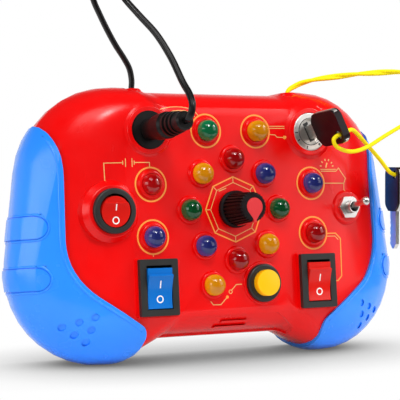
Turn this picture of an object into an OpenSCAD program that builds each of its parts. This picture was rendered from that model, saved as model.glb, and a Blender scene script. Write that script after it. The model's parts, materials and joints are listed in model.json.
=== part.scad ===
// Light-up busy board: a toy housing shaped like a game controller, with dome lamps, three rocker
// switches, a push button, a dial, a toggle switch, a key lock with two keys on a string, and a jack.
// Each piece is drawn face up: X to the right, Y up the face, Z out of the face, dial centre at the origin.
// stand() then sets the board on the floor on its grips, leaning back, with its face towards -Y.

/* [Housing] */
// Width between the outline's shoulder corners, before they are rounded
shoulder_w = 184; // [176:0.2:196]
// Width between the outline's lower corners, before they are rounded
base_w = 220.4; // [212:0.2:234]
// Height of the top middle edge above the dial centre
top_edge = 58.8; // [56:0.1:62]
// Rise of the shoulders above the top middle edge
shoulder_rise = 2.1; // [1:0.1:4]
// Depth of the bottom middle edge below the dial centre
bottom_edge = 59.9; // [57:0.1:64]
// Drop of the grips below the bottom middle edge
grip_drop = 9.7; // [7:0.1:13]
// Width of the notch between the grips, at the bottom middle edge
notch_w = 67.6; // [60:0.2:72]
// Radius of the shoulders
shoulder_r = 45.5; // [38:0.5:48]
// Radius of the lower corners
lower_r = 43; // [36:0.5:44]
// Depth from the face to the parting line
front_depth = 27; // [25:0.5:31]
// Depth from the parting line to the back
rear_depth = 23; // [22:0.5:28]
// Wall of both shells
wall = 2.5; // [2:0.1:3]
// Lean of the face from the upright
lean = 5.5; // [3:0.5:8]

/* [Grips] */
// Height of the grips above the red surface
grip_proud = 1.4; // [1:0.1:2]
// Depth of the seat that the grips fill in the shells
grip_seat = 1.5; // [1.2:0.1:1.8]
// Height of a finger tongue above the grip
tongue_proud = 0.8; // [0.4:0.1:1.2]
// Width of a finger tongue
tongue_w = 10; // [8:0.2:12]
// Diameter of a dimple
dimple_d = 3.4; // [2.6:0.1:4.2]
// Depth of the flats under the grips, which the board stands on
foot_flat = 0.9; // [0.6:0.1:1.2]

/* [Lamps] */
// Diameter of a lamp's dome
lamp_d = 10; // [9:0.1:10.6]
// Height of the dome's centre above the face
lamp_lift = 2.3; // [2:0.1:3]
// Radius of the ring of lamps round the dial
lamp_ring_r = 24.2; // [23.6:0.1:25]
// Height of the raised collar round a lamp
collar_h = 1.4; // [1:0.1:1.9]

/* [Rocker switches] */
// Width of a rectangular rocker's frame
frame_w = 19.7; // [18.5:0.1:20.5]
// Length of a rectangular rocker's frame
frame_l = 26.3; // [25:0.1:27.5]
// Width of a rectangular paddle
paddle_w = 12.4; // [11.4:0.1:12.8]
// Length of a rectangular paddle
paddle_l = 18.8; // [18:0.1:19.4]
// Diameter of the round rocker's bezel
round_bezel_d = 21; // [20.4:0.1:23]
// Diameter of the round paddle
round_paddle_d = 14.2; // [13:0.1:14.6]
// Half of a rocker's swing
rocker_tilt = 9; // [7:0.5:10]

/* [Push button] */
// Diameter of the bezel
push_bezel_d = 18.3; // [17.6:0.1:19.6]
// Diameter of the cap
push_cap_d = 12.6; // [11.6:0.1:13.2]
// Travel of the cap
push_travel = 2.5; // [1.5:0.1:3]

/* [Dial] */
// Diameter of the knob's skirt
knob_d = 17.8; // [16.6:0.1:19]
// Height of the knob's top above the face
knob_h = 19.5; // [17:0.1:22]
// Number of flutes on the knob's barrel
flutes = 26; // [20:1:32]

/* [Toggle switch] */
// Width of the hex nut across its flats
toggle_nut_af = 10.4; // [9.6:0.1:11]
// Length of the lever from its pivot to the centre of its ball end
lever_l = 14.8; // [12.6:0.1:16.6]
// Tilt of the lever from the face's normal
lever_tilt = 8; // [6:0.5:9]

/* [Lock and keys] */
// Diameter of the lock's bezel
lock_bezel_d = 18.8; // [18.4:0.1:20]
// Diameter of the turning cylinder
lock_core_d = 12.2; // [11.6:0.1:12.8]
// Turn of the key from the upright
key_turn = 24; // [0:1:32]
// Width of a key's bow
bow_w = 17; // [15:0.1:19]
// Length of a key's bow
bow_l = 22.2; // [20:0.1:24]

/* [Jack and plug] */
// Diameter of the jack's round flange
jack_d = 18; // [16.6:0.1:18.4]
// Diameter of the plug's sleeve
plug_d = 12; // [11:0.1:13]
// Height of the plug's end above the face
plug_h = 37.5; // [34:0.1:42]

/* [Battery] */
// Diameter of a cell
cell_d = 14.2; // [13.8:0.1:14.5]
// Length of a cell
cell_l = 50; // [48:0.1:50.5]

/* [Hidden] */
$fn = 64;
RED = [0.92, 0.05, 0.04];
BLUE = [0.16, 0.47, 0.96];
BLACK = [0.1, 0.1, 0.11];
YELLOW = [1, 0.78, 0];
CHROME = [0.82, 0.83, 0.85];
BOARD_GREEN = [0.1, 0.42, 0.2];
LAMP_COLOURS = [[0.75, 0, 0.03], [0.12, 0.12, 0.5], [0, 0.4, 0.14], [0.85, 0.5, 0]];

// Clearances: a snug fit inside one body, a running fit, and the seam round a grip
snug = 0.1;
running = 0.08;
seam = 0.15;
overlap = 1;

// Places of the controls on the face
side_lamp = [44, 12.25];
top_lamp = [13.6, 37.6];
lower_row_y = -35.7;
button_x = 13.6;
rocker_x = 43.6;
corner_seat = [44, 37.6];
round_seat_x = 64.6;
screw_places = [[62, 40], [78, -8], [24, -44]];
board_screw_places = [[33.5, 0], [-33.5, 0], [23.5, 34], [-23.5, 34], [0, -41]];
grommet_place = [43.6, -17];

// Half outlines, clockwise from the top: corner x, corner y, radius
side_y = top_edge + shoulder_rise;
foot_y = -bottom_edge - grip_drop;
notch_x = notch_w / 2;
notch_run = 20.7;
notch_r = 14;
step_x = [36, 46];
step_r = 12;
RIM = [[step_x[0], top_edge, step_r], [step_x[1], side_y, step_r], [shoulder_w / 2, side_y, shoulder_r],
    [base_w / 2, foot_y, lower_r], [notch_x + notch_run, foot_y, notch_r], [notch_x, -bottom_edge, notch_r]];
// The flat part of the face: how far it lies inside the rim, by corner
FACE = [[32, top_edge - 12.5, 8], [42, side_y - 12.5, 8], [58.6, side_y - 12.5, 10],
    [52, foot_y + 20.5, 9], [38, foot_y + 19.5, 8], [notch_x - 2.8, -bottom_edge + 12.9, 8]];
// The flat part of the back
BACK = [[27, top_edge - 13, 6], [35, side_y - 13, 6], [shoulder_w / 2 - 8, side_y - 13, 34],
    [base_w / 2 - 10, foot_y + 7, 36], [notch_x + notch_run - 4, foot_y + 7, 10],
    [notch_x + 2.2, -bottom_edge + 10.9, 10]];
// A point inside the right half of each outline
END_HUB = [46, -3];
FACE_POWER = 1.75;
BACK_POWER = 1.78;
FINE_ARCS = [2, 2, 8, 10, 3, 3];
COARSE_ARCS = [1, 1, 4, 5, 2, 2];
FINE_LEVELS = 6;
COARSE_LEVELS = 3;
thickness = front_depth + rear_depth;

// Edge of the right grip in the face view: corner x, corner y, radius
grip_far = 140;
GRIP_EDGE = [[grip_far, 147.5, 1], [grip_far, foot_y - 20, 1], [53.5, foot_y - 20, 1], [48, -55.2, 7],
    [85.3, -29.3, 32], [84.3, 28, 50]];
tongue_x = 92;
tongue_y = [-6, -29.7];
dimple_place = [73.2, -47.9];
dimple_along = [6.55, -1.95];
dimple_down = [1.2, -5.7];
dimple_depth = 0.7;
// Scooped panel below the controls, and its ribs: half length, y
SCOOP = [[23, -50.3, 5], [37, -58, 6], [42, foot_y, 1]];
scoop_depth = 0.9;
scoop_foot = 5 - front_depth;
SCOOP_RIBS = [[7.3, -53.4], [9, -56]];
scoop_rib_h = 0.9;

// Heights of the seats above the face
seat_root = -10;
// Plane of the spot faces behind the face, where nuts and switch bodies bear
spot_z = 0.3 - wall;
jack_seat_h = 1.2;
jack_lip = 0.9;
lock_seat_h = 2;
lock_lip = 1.5;
round_seat_h = 2.4;
rocker_seat_h = 1.8;
push_seat_h = 0.8;
toggle_seat_h = 1;

// Board and lamps behind the face
lamp_flange_t = 1.2;
lamp_flange_r = lamp_d / 2 + 0.6;
board_front = -wall - lamp_flange_t;
board_t = 1.6;
board_back = board_front - board_t;
board_screw_d = 1.7;
board_head_d = 4;
board_head_h = 1.4;

// Housing screws
screw_d = 2.9;
screw_head_d = 5.6;
screw_head_h = 2.4;
pillar_d = 7.2;
screw_head_z = -front_depth - 11;
screw_tip_z = -front_depth + 12;

// Battery well
cell_gap = 0.3;
cells = 3;
well_wall = 1.6;
contact_t = 0.4;
contact_reach = 2.6;
cover_t = 2;
cover_rim = 3;
well_w = cell_l + 2 * (contact_t + contact_reach);
well_h = cells * (cell_d + cell_gap) + cell_gap;
well_mouth = -thickness + cover_t;
well_floor = well_mouth + cell_d + 2 * cell_gap;
well_y = 6;
cover_ear = 10;
cover_screw_y = well_y - well_h / 2 - well_wall - cover_ear / 2;
cover_screw_d = 2.4;
cover_screw_l = 9;

// Rocker pivots lie this far under the bezel's front
pivot_drop = 2.6;
rocker_rim_h = 2.4;
rocker_gap = 0.4;
rocker_body_h = 13;
rocker_pin_r = 1.1;
rocker_wall = 1.5;
paddle_side_gap = 0.35;

// Push button
push_rim_h = 2.4;
push_barrel_d = push_cap_d + 3.2;
push_barrel_l = 15;
push_nut_d = push_barrel_d + 2.4;
push_nut_h = 3;
push_cap_top = push_seat_h + push_rim_h + 3.8;
push_skirt = 5;
spring_wire = 0.6;
spring_turns = 5;

// Potentiometer and knob
pot_d = 16.4;
pot_l = 7;
pot_bush_d = 6.9;
pot_bush_h = 6;
pot_nut_af = 10;
pot_nut_h = 2;
shaft_d = 5.8;
knob_foot = 0.8;
skirt_h = 2.6;
barrel_d = [15, 13.2];
pointer_d = 8.4;
pointer_t = 0.9;

// Toggle
toggle_bush_d = 6;
toggle_bush_h = 6;
toggle_nut_h = 2;
toggle_pivot = toggle_seat_h + 1;
toggle_pin_r = 0.7;
toggle_pin_l = 5.4;
lever_ball_r = 1.95;
lever_r = 1.25;
lever_tip_r = 2.1;
toggle_box = [8, 13.2, 9.6];

// Lock and keys
lock_floor = lock_seat_h - lock_lip;
lock_rim_h = 1.7;
core_drop = 1.6;
lock_barrel_d = 17.6;
lock_l = 13.5;
lock_nut_d = 22.6;
lock_nut_h = 3;
blade_w = 7.4;
blade_t = 1.8;
blade_l = 19;
slot_gap = 0.2;
key_root = lock_floor + lock_rim_h + 6.2;
bow_t = 3.8;
bow_end = 1;
head_proud = 0.25;
bow_corner = 4;
key_hole_d = 4.4;
key_hole = [-4.2, bow_l - 3.9];
spare_key_place = [91.8, -2.4, 2.8];
spare_key_yaw = -14;

// Jack and plug
jack_flange_h = 1.4;
jack_barrel_d = 11;
jack_l = 12.6;
jack_nut_d = 15.6;
jack_nut_h = 2.4;
jack_bore_d = 5.7;
pin_d = 5.5;
pin_hole_d = 2.1;
pin_l = 9.5;
plug_face = jack_seat_h - jack_lip + jack_flange_h + 0.3;
plug_ribs = 3;
rib_pitch = 3.2;

// Cords
cable_d = 3.2;
string_d = 2;
cord_sides = 8;
cord_steps = 2;
grommet_r = 4.6;
grommet_flange = 2;
grommet_neck_r = 3.2;
grommet_seat = top_edge - 1.6;
cord_end = grommet_seat - 7;
CABLE_ROUTE = [[-43.6, cord_end, -17], [-43.6, 53, -17], [-43.6, 56, -17], [-43.6, 59.6, -17],
    [-43.3, 63.6, -17], [-44.2, 69, -17], [-47, 74, -16.8], [-51.5, 80, -16], [-56, 87, -15], [-60, 94, -14],
    [-63.5, 100, -12.4], [-66.2, 106, -9], [-67.4, 110, -4], [-66.8, 111, 1.5], [-64.4, 108.5, 5.8],
    [-61, 103, 7.4], [-57.2, 97, 8.2], [-52.3, 88.5, 13], [-47.8, 79, 20], [-44.6, 67.5, 27],
    [-43.2, 55.5, 34.4], [-42.6, 48, 39.4], [-42.8, 43.2, 43], [-43.5, 39.6, 43.8], [-44, 37.8, 41.4],
    [-44, 37.6, 38], [-44, 37.6, 35], [-44, 37.6, 32]];
STRING_ROUTE = [[43.6, cord_end, -17], [43.6, 53, -17], [43.6, 56, -17], [43.6, 59.2, -17], [45, 61.2, -17],
    [48.4, 63, -17], [53.2, 64.9, -17], [62, 66.9, -16], [74, 68.4, -14], [84, 69.6, -13], [92, 70.2, -12],
    [101, 70.8, -11], [109, 71, -10], [115.5, 70, -8], [120, 66.5, -5], [121.8, 61, -1], [119.6, 54.6, 3],
    [113, 49, 6], [104, 44.4, 8], [92.6, 39.6, 10], [80, 34.4, 14], [66.6, 28.6, 18.4], [57, 26, 21],
    [49.6, 26, 23.2], [43.4, 28, 25], [41.4, 30.8, 26.2], [43, 32.6, 26.6], [45.8, 33.7, 26.7],
    [49.6, 35.2, 26.2], [54, 36, 24], [59.4, 34.6, 20], [69.4, 29.6, 14], [79.4, 23.4, 9.4], [84.4, 19, 7.8],
    [87.4, 16.4, 7.6], [90.8, 15.4, 8.3], [94.8, 15.3, 9.3]];

// Lamps: name, place, colour, height of the dome's centre
function ring_place(i) = lamp_ring_r * [sin(45 * i), cos(45 * i)];
LAMPS = concat([for (i = [0:7]) [str("ring_lamp_", i + 1), ring_place(i), i % 4, lamp_lift]], [
    ["left_upper_lamp", [-side_lamp.x, side_lamp.y], 0, lamp_lift - 1.6],
    ["left_lower_lamp", [-side_lamp.x, -side_lamp.y], 1, lamp_lift],
    ["right_upper_lamp", [side_lamp.x, side_lamp.y], 1, lamp_lift],
    ["right_lower_lamp", [side_lamp.x, -side_lamp.y], 0, lamp_lift],
    ["top_left_lamp", [-top_lamp.x, top_lamp.y], 2, lamp_lift],
    ["top_right_lamp", top_lamp, 3, lamp_lift + 0.8],
    ["bottom_lamp", [-button_x, lower_row_y], 3, lamp_lift]]);

// Height of the dial centre above the floor, and the setback that centres the board over the origin
foot_depth = front_depth + 4;
dial_h = (-foot_y + grip_proud) * cos(lean) + foot_depth * sin(lean) - foot_flat;
rear_reach = (side_y - 13) * sin(lean) + thickness * cos(lean);
front_reach = (key_root + bow_l) * cos(lean) - (corner_seat.y - 5) * sin(lean);
setback = (rear_reach - front_reach) / 2;

module stand() {
    translate([0, -setback, dial_h]) rotate([90 - lean, 0, 0]) children();
}

module at(place, h = 0) {
    translate([place.x, place.y, h]) children();
}

module both_sides() {
    children();
    mirror([1, 0, 0]) children();
}

// Outlines
function unit(v) = v / norm(v);
function left_of(v) = [-v.y, v.x];
function corner_arc(before, corner, after, r, steps) =
    let (back = unit(before - corner), ahead = unit(after - corner))
    let (half = acos(back * ahead) / 2)
    let (centre = corner + unit(back + ahead) * r / sin(half))
    let (from = corner + back * r / tan(half) - centre, to = corner + ahead * r / tan(half) - centre)
    let (start = atan2(from.y, from.x), turn = atan2(to.y, to.x) - start)
    let (swing = turn > 180 ? turn - 360 : turn < -180 ? turn + 360 : turn)
    [for (i = [0:steps]) centre + r * [cos(start + swing * i / steps), sin(start + swing * i / steps)]];
function flat(p) = [p.x, p.y];
function rounded(corners, steps) =
    let (n = len(corners))
    [for (i = [0:n - 1]) each corner_arc(flat(corners[(i + n - 1) % n]), flat(corners[i]),
        flat(corners[(i + 1) % n]), corners[i].z, steps[i])];
// Moves each side of a clockwise outline out by a distance
function grown(corners, by) =
    let (n = len(corners))
    [for (i = [0:n - 1])
        let (here = flat(corners[i]))
        let (in = unit(here - flat(corners[(i + n - 1) % n])), out = unit(flat(corners[(i + 1) % n]) - here))
        let (a = left_of(in), b = left_of(out), convex = in.x * out.y - in.y * out.x < 0)
        let (p = here + (a + b) * by / (1 + a * b))
        [p.x, p.y, corners[i].z + (convex ? by : -by)]];
function reversed(list) = [for (i = [len(list) - 1:-1:0]) list[i]];
function mirrored(corners) = concat(corners, [for (c = reversed(corners)) [-c.x, c.y, c.z]]);
function mirrored_steps(steps) = concat(steps, reversed(steps));

// Rings of the housing's outer form. The rim grows by rim_by and the flats move out by flat_by
function bulge(turn, power) = [pow(sin(turn), 2 / power), pow(cos(turn), 2 / power)];
function blend(a, b, share) = [for (i = [0:len(a) - 1]) a[i] + (b[i] - a[i]) * share];
function raised(ring, z) = [for (p = ring) [p.x, p.y, z]];
function body_rings(rim_by, flat_by, arcs, front, rear, half = false) =
    let (steps = mirrored_steps(arcs))
    let (rim_all = rounded(grown(mirrored(RIM), rim_by), steps))
    let (count = half ? len(rim_all) / 2 : len(rim_all))
    let (rim = [for (i = [0:count - 1]) rim_all[i]])
    let (face_all = rounded(mirrored(FACE), steps), back_all = rounded(mirrored(BACK), steps))
    let (face = [for (i = [0:count - 1]) face_all[i]], back = [for (i = [0:count - 1]) back_all[i]])
    concat(
        [if (front > 0) for (k = [0:front - 1])
            let (b = bulge(90 * k / front, FACE_POWER))
            raised(blend(face, rim, b[0]), -front_depth + (front_depth + flat_by) * b[1])],
        [raised(rim, -front_depth)],
        [if (rear > 0) for (k = [rear - 1:-1:0])
            let (b = bulge(90 * k / rear, BACK_POWER))
            raised(blend(back, rim, b[0]), -front_depth - (rear_depth + flat_by) * b[1])]);

// Faces of the sides between rings of n points
function wall_faces(n, last) = [for (k = [0:last - 1]) for (i = [0:n - 1])
    let (j = (i + 1) % n)
    each [[k * n + i, (k + 1) * n + i, (k + 1) * n + j], [k * n + i, (k + 1) * n + j, k * n + j]]];
function flipped(face) = [for (i = [len(face) - 1:-1:0]) face[i]];

// Closed solid through convex rings, each clockwise seen from the first ring's side
module skin(rings) {
    n = len(rings[0]);
    last = len(rings) - 1;
    cap = [for (i = [0:n - 1]) i];
    end_cap = [for (i = flipped(cap)) last * n + i];
    polyhedron([for (r = rings) each r], concat(wall_faces(n, last), [cap, end_cap]), convexity = 8);
}

// Faces of a flat end: a fan round a hub inside each half of the outline, and the strip between the halves
function fan(hub, from, to) = [for (i = [from:to]) [hub, i, i < to ? i + 1 : from]];
function end_faces(start, n, hub, half) =
    let (mid = half ? n : n / 2)
    concat(fan(hub, start, start + mid - 1),
        half ? [] : fan(hub + 1, start + mid, start + n - 1),
        half ? [] : [[start, start + mid - 1, start + mid], [start, start + mid, start + n - 1]]);

// Closed solid through the housing's rings, whose outline has a notch
module body_skin(rings, half = false) {
    n = len(rings[0]);
    last = len(rings) - 1;
    hub = (last + 1) * n;
    hubs = half ? [END_HUB] : [END_HUB, [-END_HUB.x, END_HUB.y]];
    front_z = rings[0][0].z;
    back_z = rings[last][0].z;
    points = concat([for (r = rings) each r], raised(hubs, front_z), raised(hubs, back_z));
    front_faces = end_faces(0, n, hub, half);
    back_faces = [for (f = end_faces(last * n, n, hub + len(hubs), half)) flipped(f)];
    polyhedron(points, concat(wall_faces(n, last), front_faces, back_faces), convexity = 8);
}

module front_form(by) {
    body_skin(body_rings(by, by, FINE_ARCS, FINE_LEVELS, 0));
}

module rear_form(by) {
    body_skin(body_rings(by, by, FINE_ARCS, 0, FINE_LEVELS));
}

module side_form(by, arcs = FINE_ARCS, levels = FINE_LEVELS) {
    body_skin(body_rings(by, by, arcs, levels, levels, true), true);
}

// Hollow inside the shells, deeper under the grips' seats
module cavity(front, rear) {
    rings = body_rings(-wall - grip_seat, -wall, COARSE_ARCS, front, rear);
    past = front > 0 ? -front_depth - overlap : -front_depth + overlap;
    end = raised(front > 0 ? rings[len(rings) - 1] : rings[0], past);
    body_skin(front > 0 ? concat(rings, [end]) : concat([end], rings));
}

module grip_area(by) {
    linear_extrude(height = 3 * thickness, center = true)
        polygon(rounded(grown(GRIP_EDGE, by), [1, 1, 1, 6, 8, 5]));
}

// What the right grip's seat takes away from the shells
module grip_seat_cut() {
    difference() {
        grip_area(seam);
        side_form(-grip_seat, COARSE_ARCS, COARSE_LEVELS);
    }
}

module below_floor() {
    deep = 40;
    translate([0, 0, -deep / 2]) cube([3 * base_w, 8 * thickness, deep], center = true);
}

module pillar_places() {
    both_sides() for (p = screw_places) at(p) children();
}

// Round seat on the face: a cone with a rounded edge
module round_seat(root_r, top_r, h) {
    edge = min(0.8, h / 2);
    rotate_extrude() {
        polygon([[0, seat_root], [root_r + 0.3, seat_root], [root_r + 0.3, -0.6], [top_r, h - edge],
            [top_r - edge, h], [0, h]]);
        translate([top_r - edge, h - edge]) circle(edge);
    }
}

module rocker_seat() {
    margin = 0.6;
    r = 1;
    linear_extrude(height = rocker_seat_h - seat_root) rounded_rect(frame_w + 2 * margin,
        frame_l + 2 * margin, r);
}

module rounded_rect(w, l, r) {
    for (x = [-1, 1]) for (y = [-1, 1]) translate([x * (w / 2 - r), y * (l / 2 - r)]) circle(r);
    square([w - 2 * r, l], center = true);
    square([w, l - 2 * r], center = true);
}

module hex(af) {
    circle(d = af / cos(30), $fn = 6);
}

round_bore_r = round_bezel_d / 2 - 0.7;
lock_place = corner_seat;
jack_place = [-corner_seat.x, corner_seat.y];
knob_place = [0, 0];
push_place = [button_x, lower_row_y];
toggle_place = [round_seat_x, 0];
round_place = [-round_seat_x, 0];
rocker_cut_w = frame_w - 4.3;
rocker_cut_l = frame_l - 3.1;

module scoop_cut() {
    ribs_r = scoop_rib_h / 2;
    difference() {
        translate([0, 0, scoop_foot]) linear_extrude(height = thickness) difference() {
            polygon(rounded(mirrored(SCOOP), mirrored_steps([5, 5, 1])));
            for (r = SCOOP_RIBS) translate([0, r[1]]) {
                square([2 * r[0] - scoop_rib_h, scoop_rib_h], center = true);
                for (x = [-1, 1]) translate([x * (r[0] - ribs_r), 0]) circle(ribs_r, $fn = 24);
            }
        }
        front_form(-scoop_depth);
    }
}

module front_seats() {
    for (l = LAMPS) at(l[1]) round_seat(lamp_d / 2 + 1.9, lamp_d / 2 + 1.5, collar_h);
    at(jack_place) round_seat(jack_d / 2 + 4, jack_d / 2 + 2.4, jack_seat_h);
    at(lock_place) round_seat(lock_bezel_d / 2 + 4.6, lock_bezel_d / 2 + 2.6, lock_seat_h);
    at(round_place) round_seat(round_bezel_d / 2 + 3.6, round_bezel_d / 2 + 1.8, round_seat_h);
    at(push_place) round_seat(push_bezel_d / 2 + 1.4, push_bezel_d / 2 + 1.2, push_seat_h);
    at(toggle_place) round_seat(8.4, 8, toggle_seat_h);
    both_sides() at([rocker_x, lower_row_y], seat_root) rocker_seat();
    both_sides() translate([grommet_place.x, grommet_seat + 0.4, grommet_place.y])
        rotate([90, 0, 0]) cylinder(r = grommet_r + 0.8, h = 8);
}

module front_bores() {
    deep = 60;
    for (l = LAMPS) at(l[1]) cylinder(d = lamp_d + 2 * snug, h = deep, center = true);
    at(knob_place) cylinder(d = pot_bush_d + 2 * snug, h = deep, center = true);
    at(push_place) cylinder(d = push_barrel_d + 2 * snug, h = deep, center = true);
    at(round_place) cylinder(r = round_bore_r + snug, h = deep, center = true);
    at(toggle_place) cylinder(d = toggle_bush_d + 2 * snug, h = deep, center = true);
    at(toggle_place, spot_z - deep / 2) cube([toggle_box.x + 1, toggle_box.y + 1, deep], center = true);
    at(lock_place) cylinder(d = lock_barrel_d + 2 * snug, h = deep, center = true);
    at(lock_place, lock_floor) cylinder(d = lock_bezel_d + 2 * snug, h = deep);
    at(lock_place, spot_z - deep) cylinder(d = lock_nut_d + 1, h = deep);
    at(jack_place) cylinder(d = jack_barrel_d + 2 * snug, h = deep, center = true);
    at(jack_place, spot_z - deep) cylinder(d = jack_nut_d + 1, h = deep);
    at(jack_place, jack_seat_h - jack_lip) cylinder(d = jack_d + 2 * snug, h = deep);
    both_sides() at([rocker_x, lower_row_y])
        cube([rocker_cut_w + 2 * snug, rocker_cut_l + 2 * snug, deep], center = true);
    both_sides() translate([grommet_place.x, grommet_seat + deep / 2, grommet_place.y])
        rotate([90, 0, 0]) cylinder(r = grommet_neck_r + snug, h = deep);
    both_sides() translate([grommet_place.x, grommet_seat, grommet_place.y])
        rotate([-90, 0, 0]) cylinder(r = grommet_r + seam, h = deep);
}

module board_posts() {
    for (p = board_screw_places) at(p, board_front) cylinder(d = board_head_d,
        h = -board_front - wall + overlap);
}

module front_shell() {
    color(RED) difference() {
        union() {
            difference() {
                union() {
                    front_form(0);
                    front_seats();
                }
                cavity(COARSE_LEVELS, 0);
                both_sides() grip_seat_cut();
                scoop_cut();
            }
            board_posts();
            intersection() {
                pillar_places() translate([0, 0, -front_depth]) cylinder(d = pillar_d, h = front_depth);
                front_form(-wall / 2);
            }
        }
        front_bores();
        for (p = board_screw_places) at(p, -front_depth) cylinder(d = board_screw_d + snug,
            h = front_depth - 1);
        pillar_places() translate([0, 0, -front_depth - 1]) cylinder(d = screw_d + snug,
            h = screw_tip_z + front_depth + 2);
    }
}

module well_block(extra, floor_z) {
    translate([0, well_y, (floor_z - thickness) / 2])
        cube([well_w + 2 * extra, well_h + 2 * extra, thickness + floor_z], center = true);
}

module cover_outline(gap) {
    low = well_y - well_h / 2 - cover_rim - cover_ear;
    high = well_y + well_h / 2 + cover_rim;
    translate([0, (low + high) / 2]) rounded_rect(well_w + 2 * cover_rim + 2 * gap, high - low + 2 * gap, 3);
}

cover_tabs_x = 16;
cover_tab = [8, 3, 1.4];

module rear_shell() {
    color(RED) difference() {
        union() {
            difference() {
                rear_form(0);
                cavity(0, COARSE_LEVELS);
                both_sides() grip_seat_cut();
            }
            intersection() {
                union() {
                    well_block(well_wall, well_floor + well_wall);
                    at([0, cover_screw_y], -thickness) cylinder(d = 2 * cover_rim + 2, h = cover_screw_l + 4);
                    translate([0, 0, -thickness]) linear_extrude(height = cover_t + well_wall)
                        cover_outline(well_wall);
                    pillar_places() translate([0, 0, -thickness]) cylinder(d = pillar_d + 2, h = rear_depth);
                }
                rear_form(-0.4);
            }
        }
        well_block(0, well_floor);
        translate([0, 0, -thickness - 1]) linear_extrude(height = cover_t + 1) cover_outline(seam);
        for (x = [-1, 1]) translate([x * cover_tabs_x, well_y + well_h / 2 + cover_rim,
            -thickness + cover_tab.z])
            cube([cover_tab.x + 1, 2 * cover_tab.y + 1, cover_tab.z + 2 * snug], center = true);
        at([0, cover_screw_y], -thickness) cylinder(d = cover_screw_d + snug, h = cover_screw_l + 2);
        pillar_places() {
            translate([0, 0, -thickness - 1]) cylinder(d = screw_head_d + 0.6,
                h = screw_head_z + thickness + 1);
            translate([0, 0, -thickness - 1]) cylinder(d = screw_d + 0.3, h = thickness);
        }
        for (x = [-1, 1]) translate([x * well_w / 2, well_y, well_floor - 4])
            cube([4 * well_wall, 4, 4], center = true);
    }
}

module grip() {
    color(BLUE) difference() {
        stand() difference() {
            union() {
                intersection() {
                    side_form(grip_proud);
                    grip_area(0);
                }
                intersection() {
                    side_form(grip_proud + tongue_proud);
                    linear_extrude(height = 3 * thickness, center = true) for (y = tongue_y)
                        translate([tongue_x, y]) {
                        translate([tongue_w / 2, 0]) circle(d = tongue_w);
                        translate([tongue_w / 2, -tongue_w / 2]) square([grip_far - tongue_x, tongue_w]);
                    }
                }
            }
            side_form(-grip_seat + seam, COARSE_ARCS, COARSE_LEVELS);
            difference() {
                for (i = [0:2]) for (j = [0:2 - i]) at(dimple_place + i * dimple_along + j * dimple_down,
                    -front_depth)
                    cylinder(d = dimple_d, h = 2 * front_depth);
                side_form(grip_proud - dimple_depth);
            }
        }
        below_floor();
    }
}

module right_grip() {
    grip();
}

module left_grip() {
    mirror([1, 0, 0]) grip();
}

module battery_cover() {
    color(RED) difference() {
        union() {
            translate([0, 0, -thickness]) linear_extrude(height = cover_t) cover_outline(0);
            for (x = [-1, 1]) translate([x * cover_tabs_x, well_y + well_h / 2 + cover_rim,
                -thickness + cover_tab.z])
                cube([cover_tab.x, 2 * cover_tab.y, cover_tab.z], center = true);
        }
        at([0, cover_screw_y], -thickness - 1) cylinder(d = cover_screw_d + 0.3, h = cover_t + 2);
        at([0, cover_screw_y], -thickness - 1) cylinder(d = 2 * cover_screw_d + 0.6, h = 2);
        grip_lines = 4;
        for (i = [0:grip_lines - 1]) translate([0, well_y + well_h / 2 - 2 - 2.4 * i, -thickness])
            cube([18, 1, 1.2], center = true);
    }
}

// Pan-head screw along +Z with its head's underside at the origin
module screw(d, head_d, head_h, l) {
    edge = head_h * 0.4;
    slot = 0.8;
    difference() {
        rotate_extrude() polygon([[0, -head_h], [head_d / 2 - edge, -head_h], [head_d / 2,
            -head_h + edge], [head_d / 2, 0],
            [d / 2, 0], [d / 2, l - d / 2], [0, l]]);
        for (a = [0, 90]) rotate([0, 0, a]) translate([0, 0, -head_h]) cube([head_d * 0.7, slot, head_h],
            center = true);
    }
}

module battery_cover_screw() {
    color(CHROME) at([0, cover_screw_y], -thickness + 1)
        screw(cover_screw_d, 2 * cover_screw_d, 0.9, cover_screw_l);
}

module housing_screws() {
    color(CHROME) pillar_places() translate([0, 0, screw_head_z])
        screw(screw_d, screw_head_d, screw_head_h, screw_tip_z - screw_head_z);
}

module each_cell() {
    for (i = [0:cells - 1]) translate([0, well_y + (i - (cells - 1) / 2) * (cell_d + cell_gap),
        well_mouth + cell_gap + cell_d / 2])
        rotate([0, 0, 180 * (i % 2)]) children();
}

module battery_cells() {
    nub = [5.4, 1];
    color(BLACK) each_cell() rotate([0, 90, 0]) {
        translate([0, 0, -cell_l / 2]) cylinder(d = cell_d, h = cell_l - nub[1]);
        translate([0, 0, cell_l / 2 - nub[1]]) cylinder(d = nub[0], h = nub[1]);
    }
}

module battery_contacts() {
    plate = cell_d - 3;
    color(CHROME) each_cell() {
        translate([well_w / 2 - contact_t / 2, 0, 0]) cube([contact_t, plate, plate], center = true);
        translate([cell_l / 2, 0, 0]) rotate([0, 90, 0]) cylinder(r1 = 2, r2 = 3.4, h = contact_reach);
        translate([-well_w / 2 + contact_t / 2, 0, 0]) cube([contact_t, plate, plate], center = true);
        translate([-cell_l / 2, 0, 0]) rotate([0, -90, 0]) cylinder(r1 = 2.6, r2 = 4.4, h = contact_reach);
    }
}

module circuit_board() {
    bar = [[-52, -19.5], [52, 20.5]];
    post = [[-29, -46], [29, 45]];
    color(BOARD_GREEN) translate([0, 0, board_back]) linear_extrude(height = board_t) difference() {
        union() {
            translate(bar[0]) square(bar[1] - bar[0]);
            translate(post[0]) square(post[1] - post[0]);
        }
        circle(d = pot_d + 1.6);
        translate(push_place) circle(d = push_nut_d + 1.2);
        translate(lock_place) circle(d = lock_nut_d + 1.2);
        translate(jack_place) circle(d = jack_nut_d + 1.2);
        for (p = board_screw_places) translate(p) circle(d = board_screw_d + 0.4);
        both_sides() for (p = screw_places) translate(p) circle(d = pillar_d + 1.2);
    }
}

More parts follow.
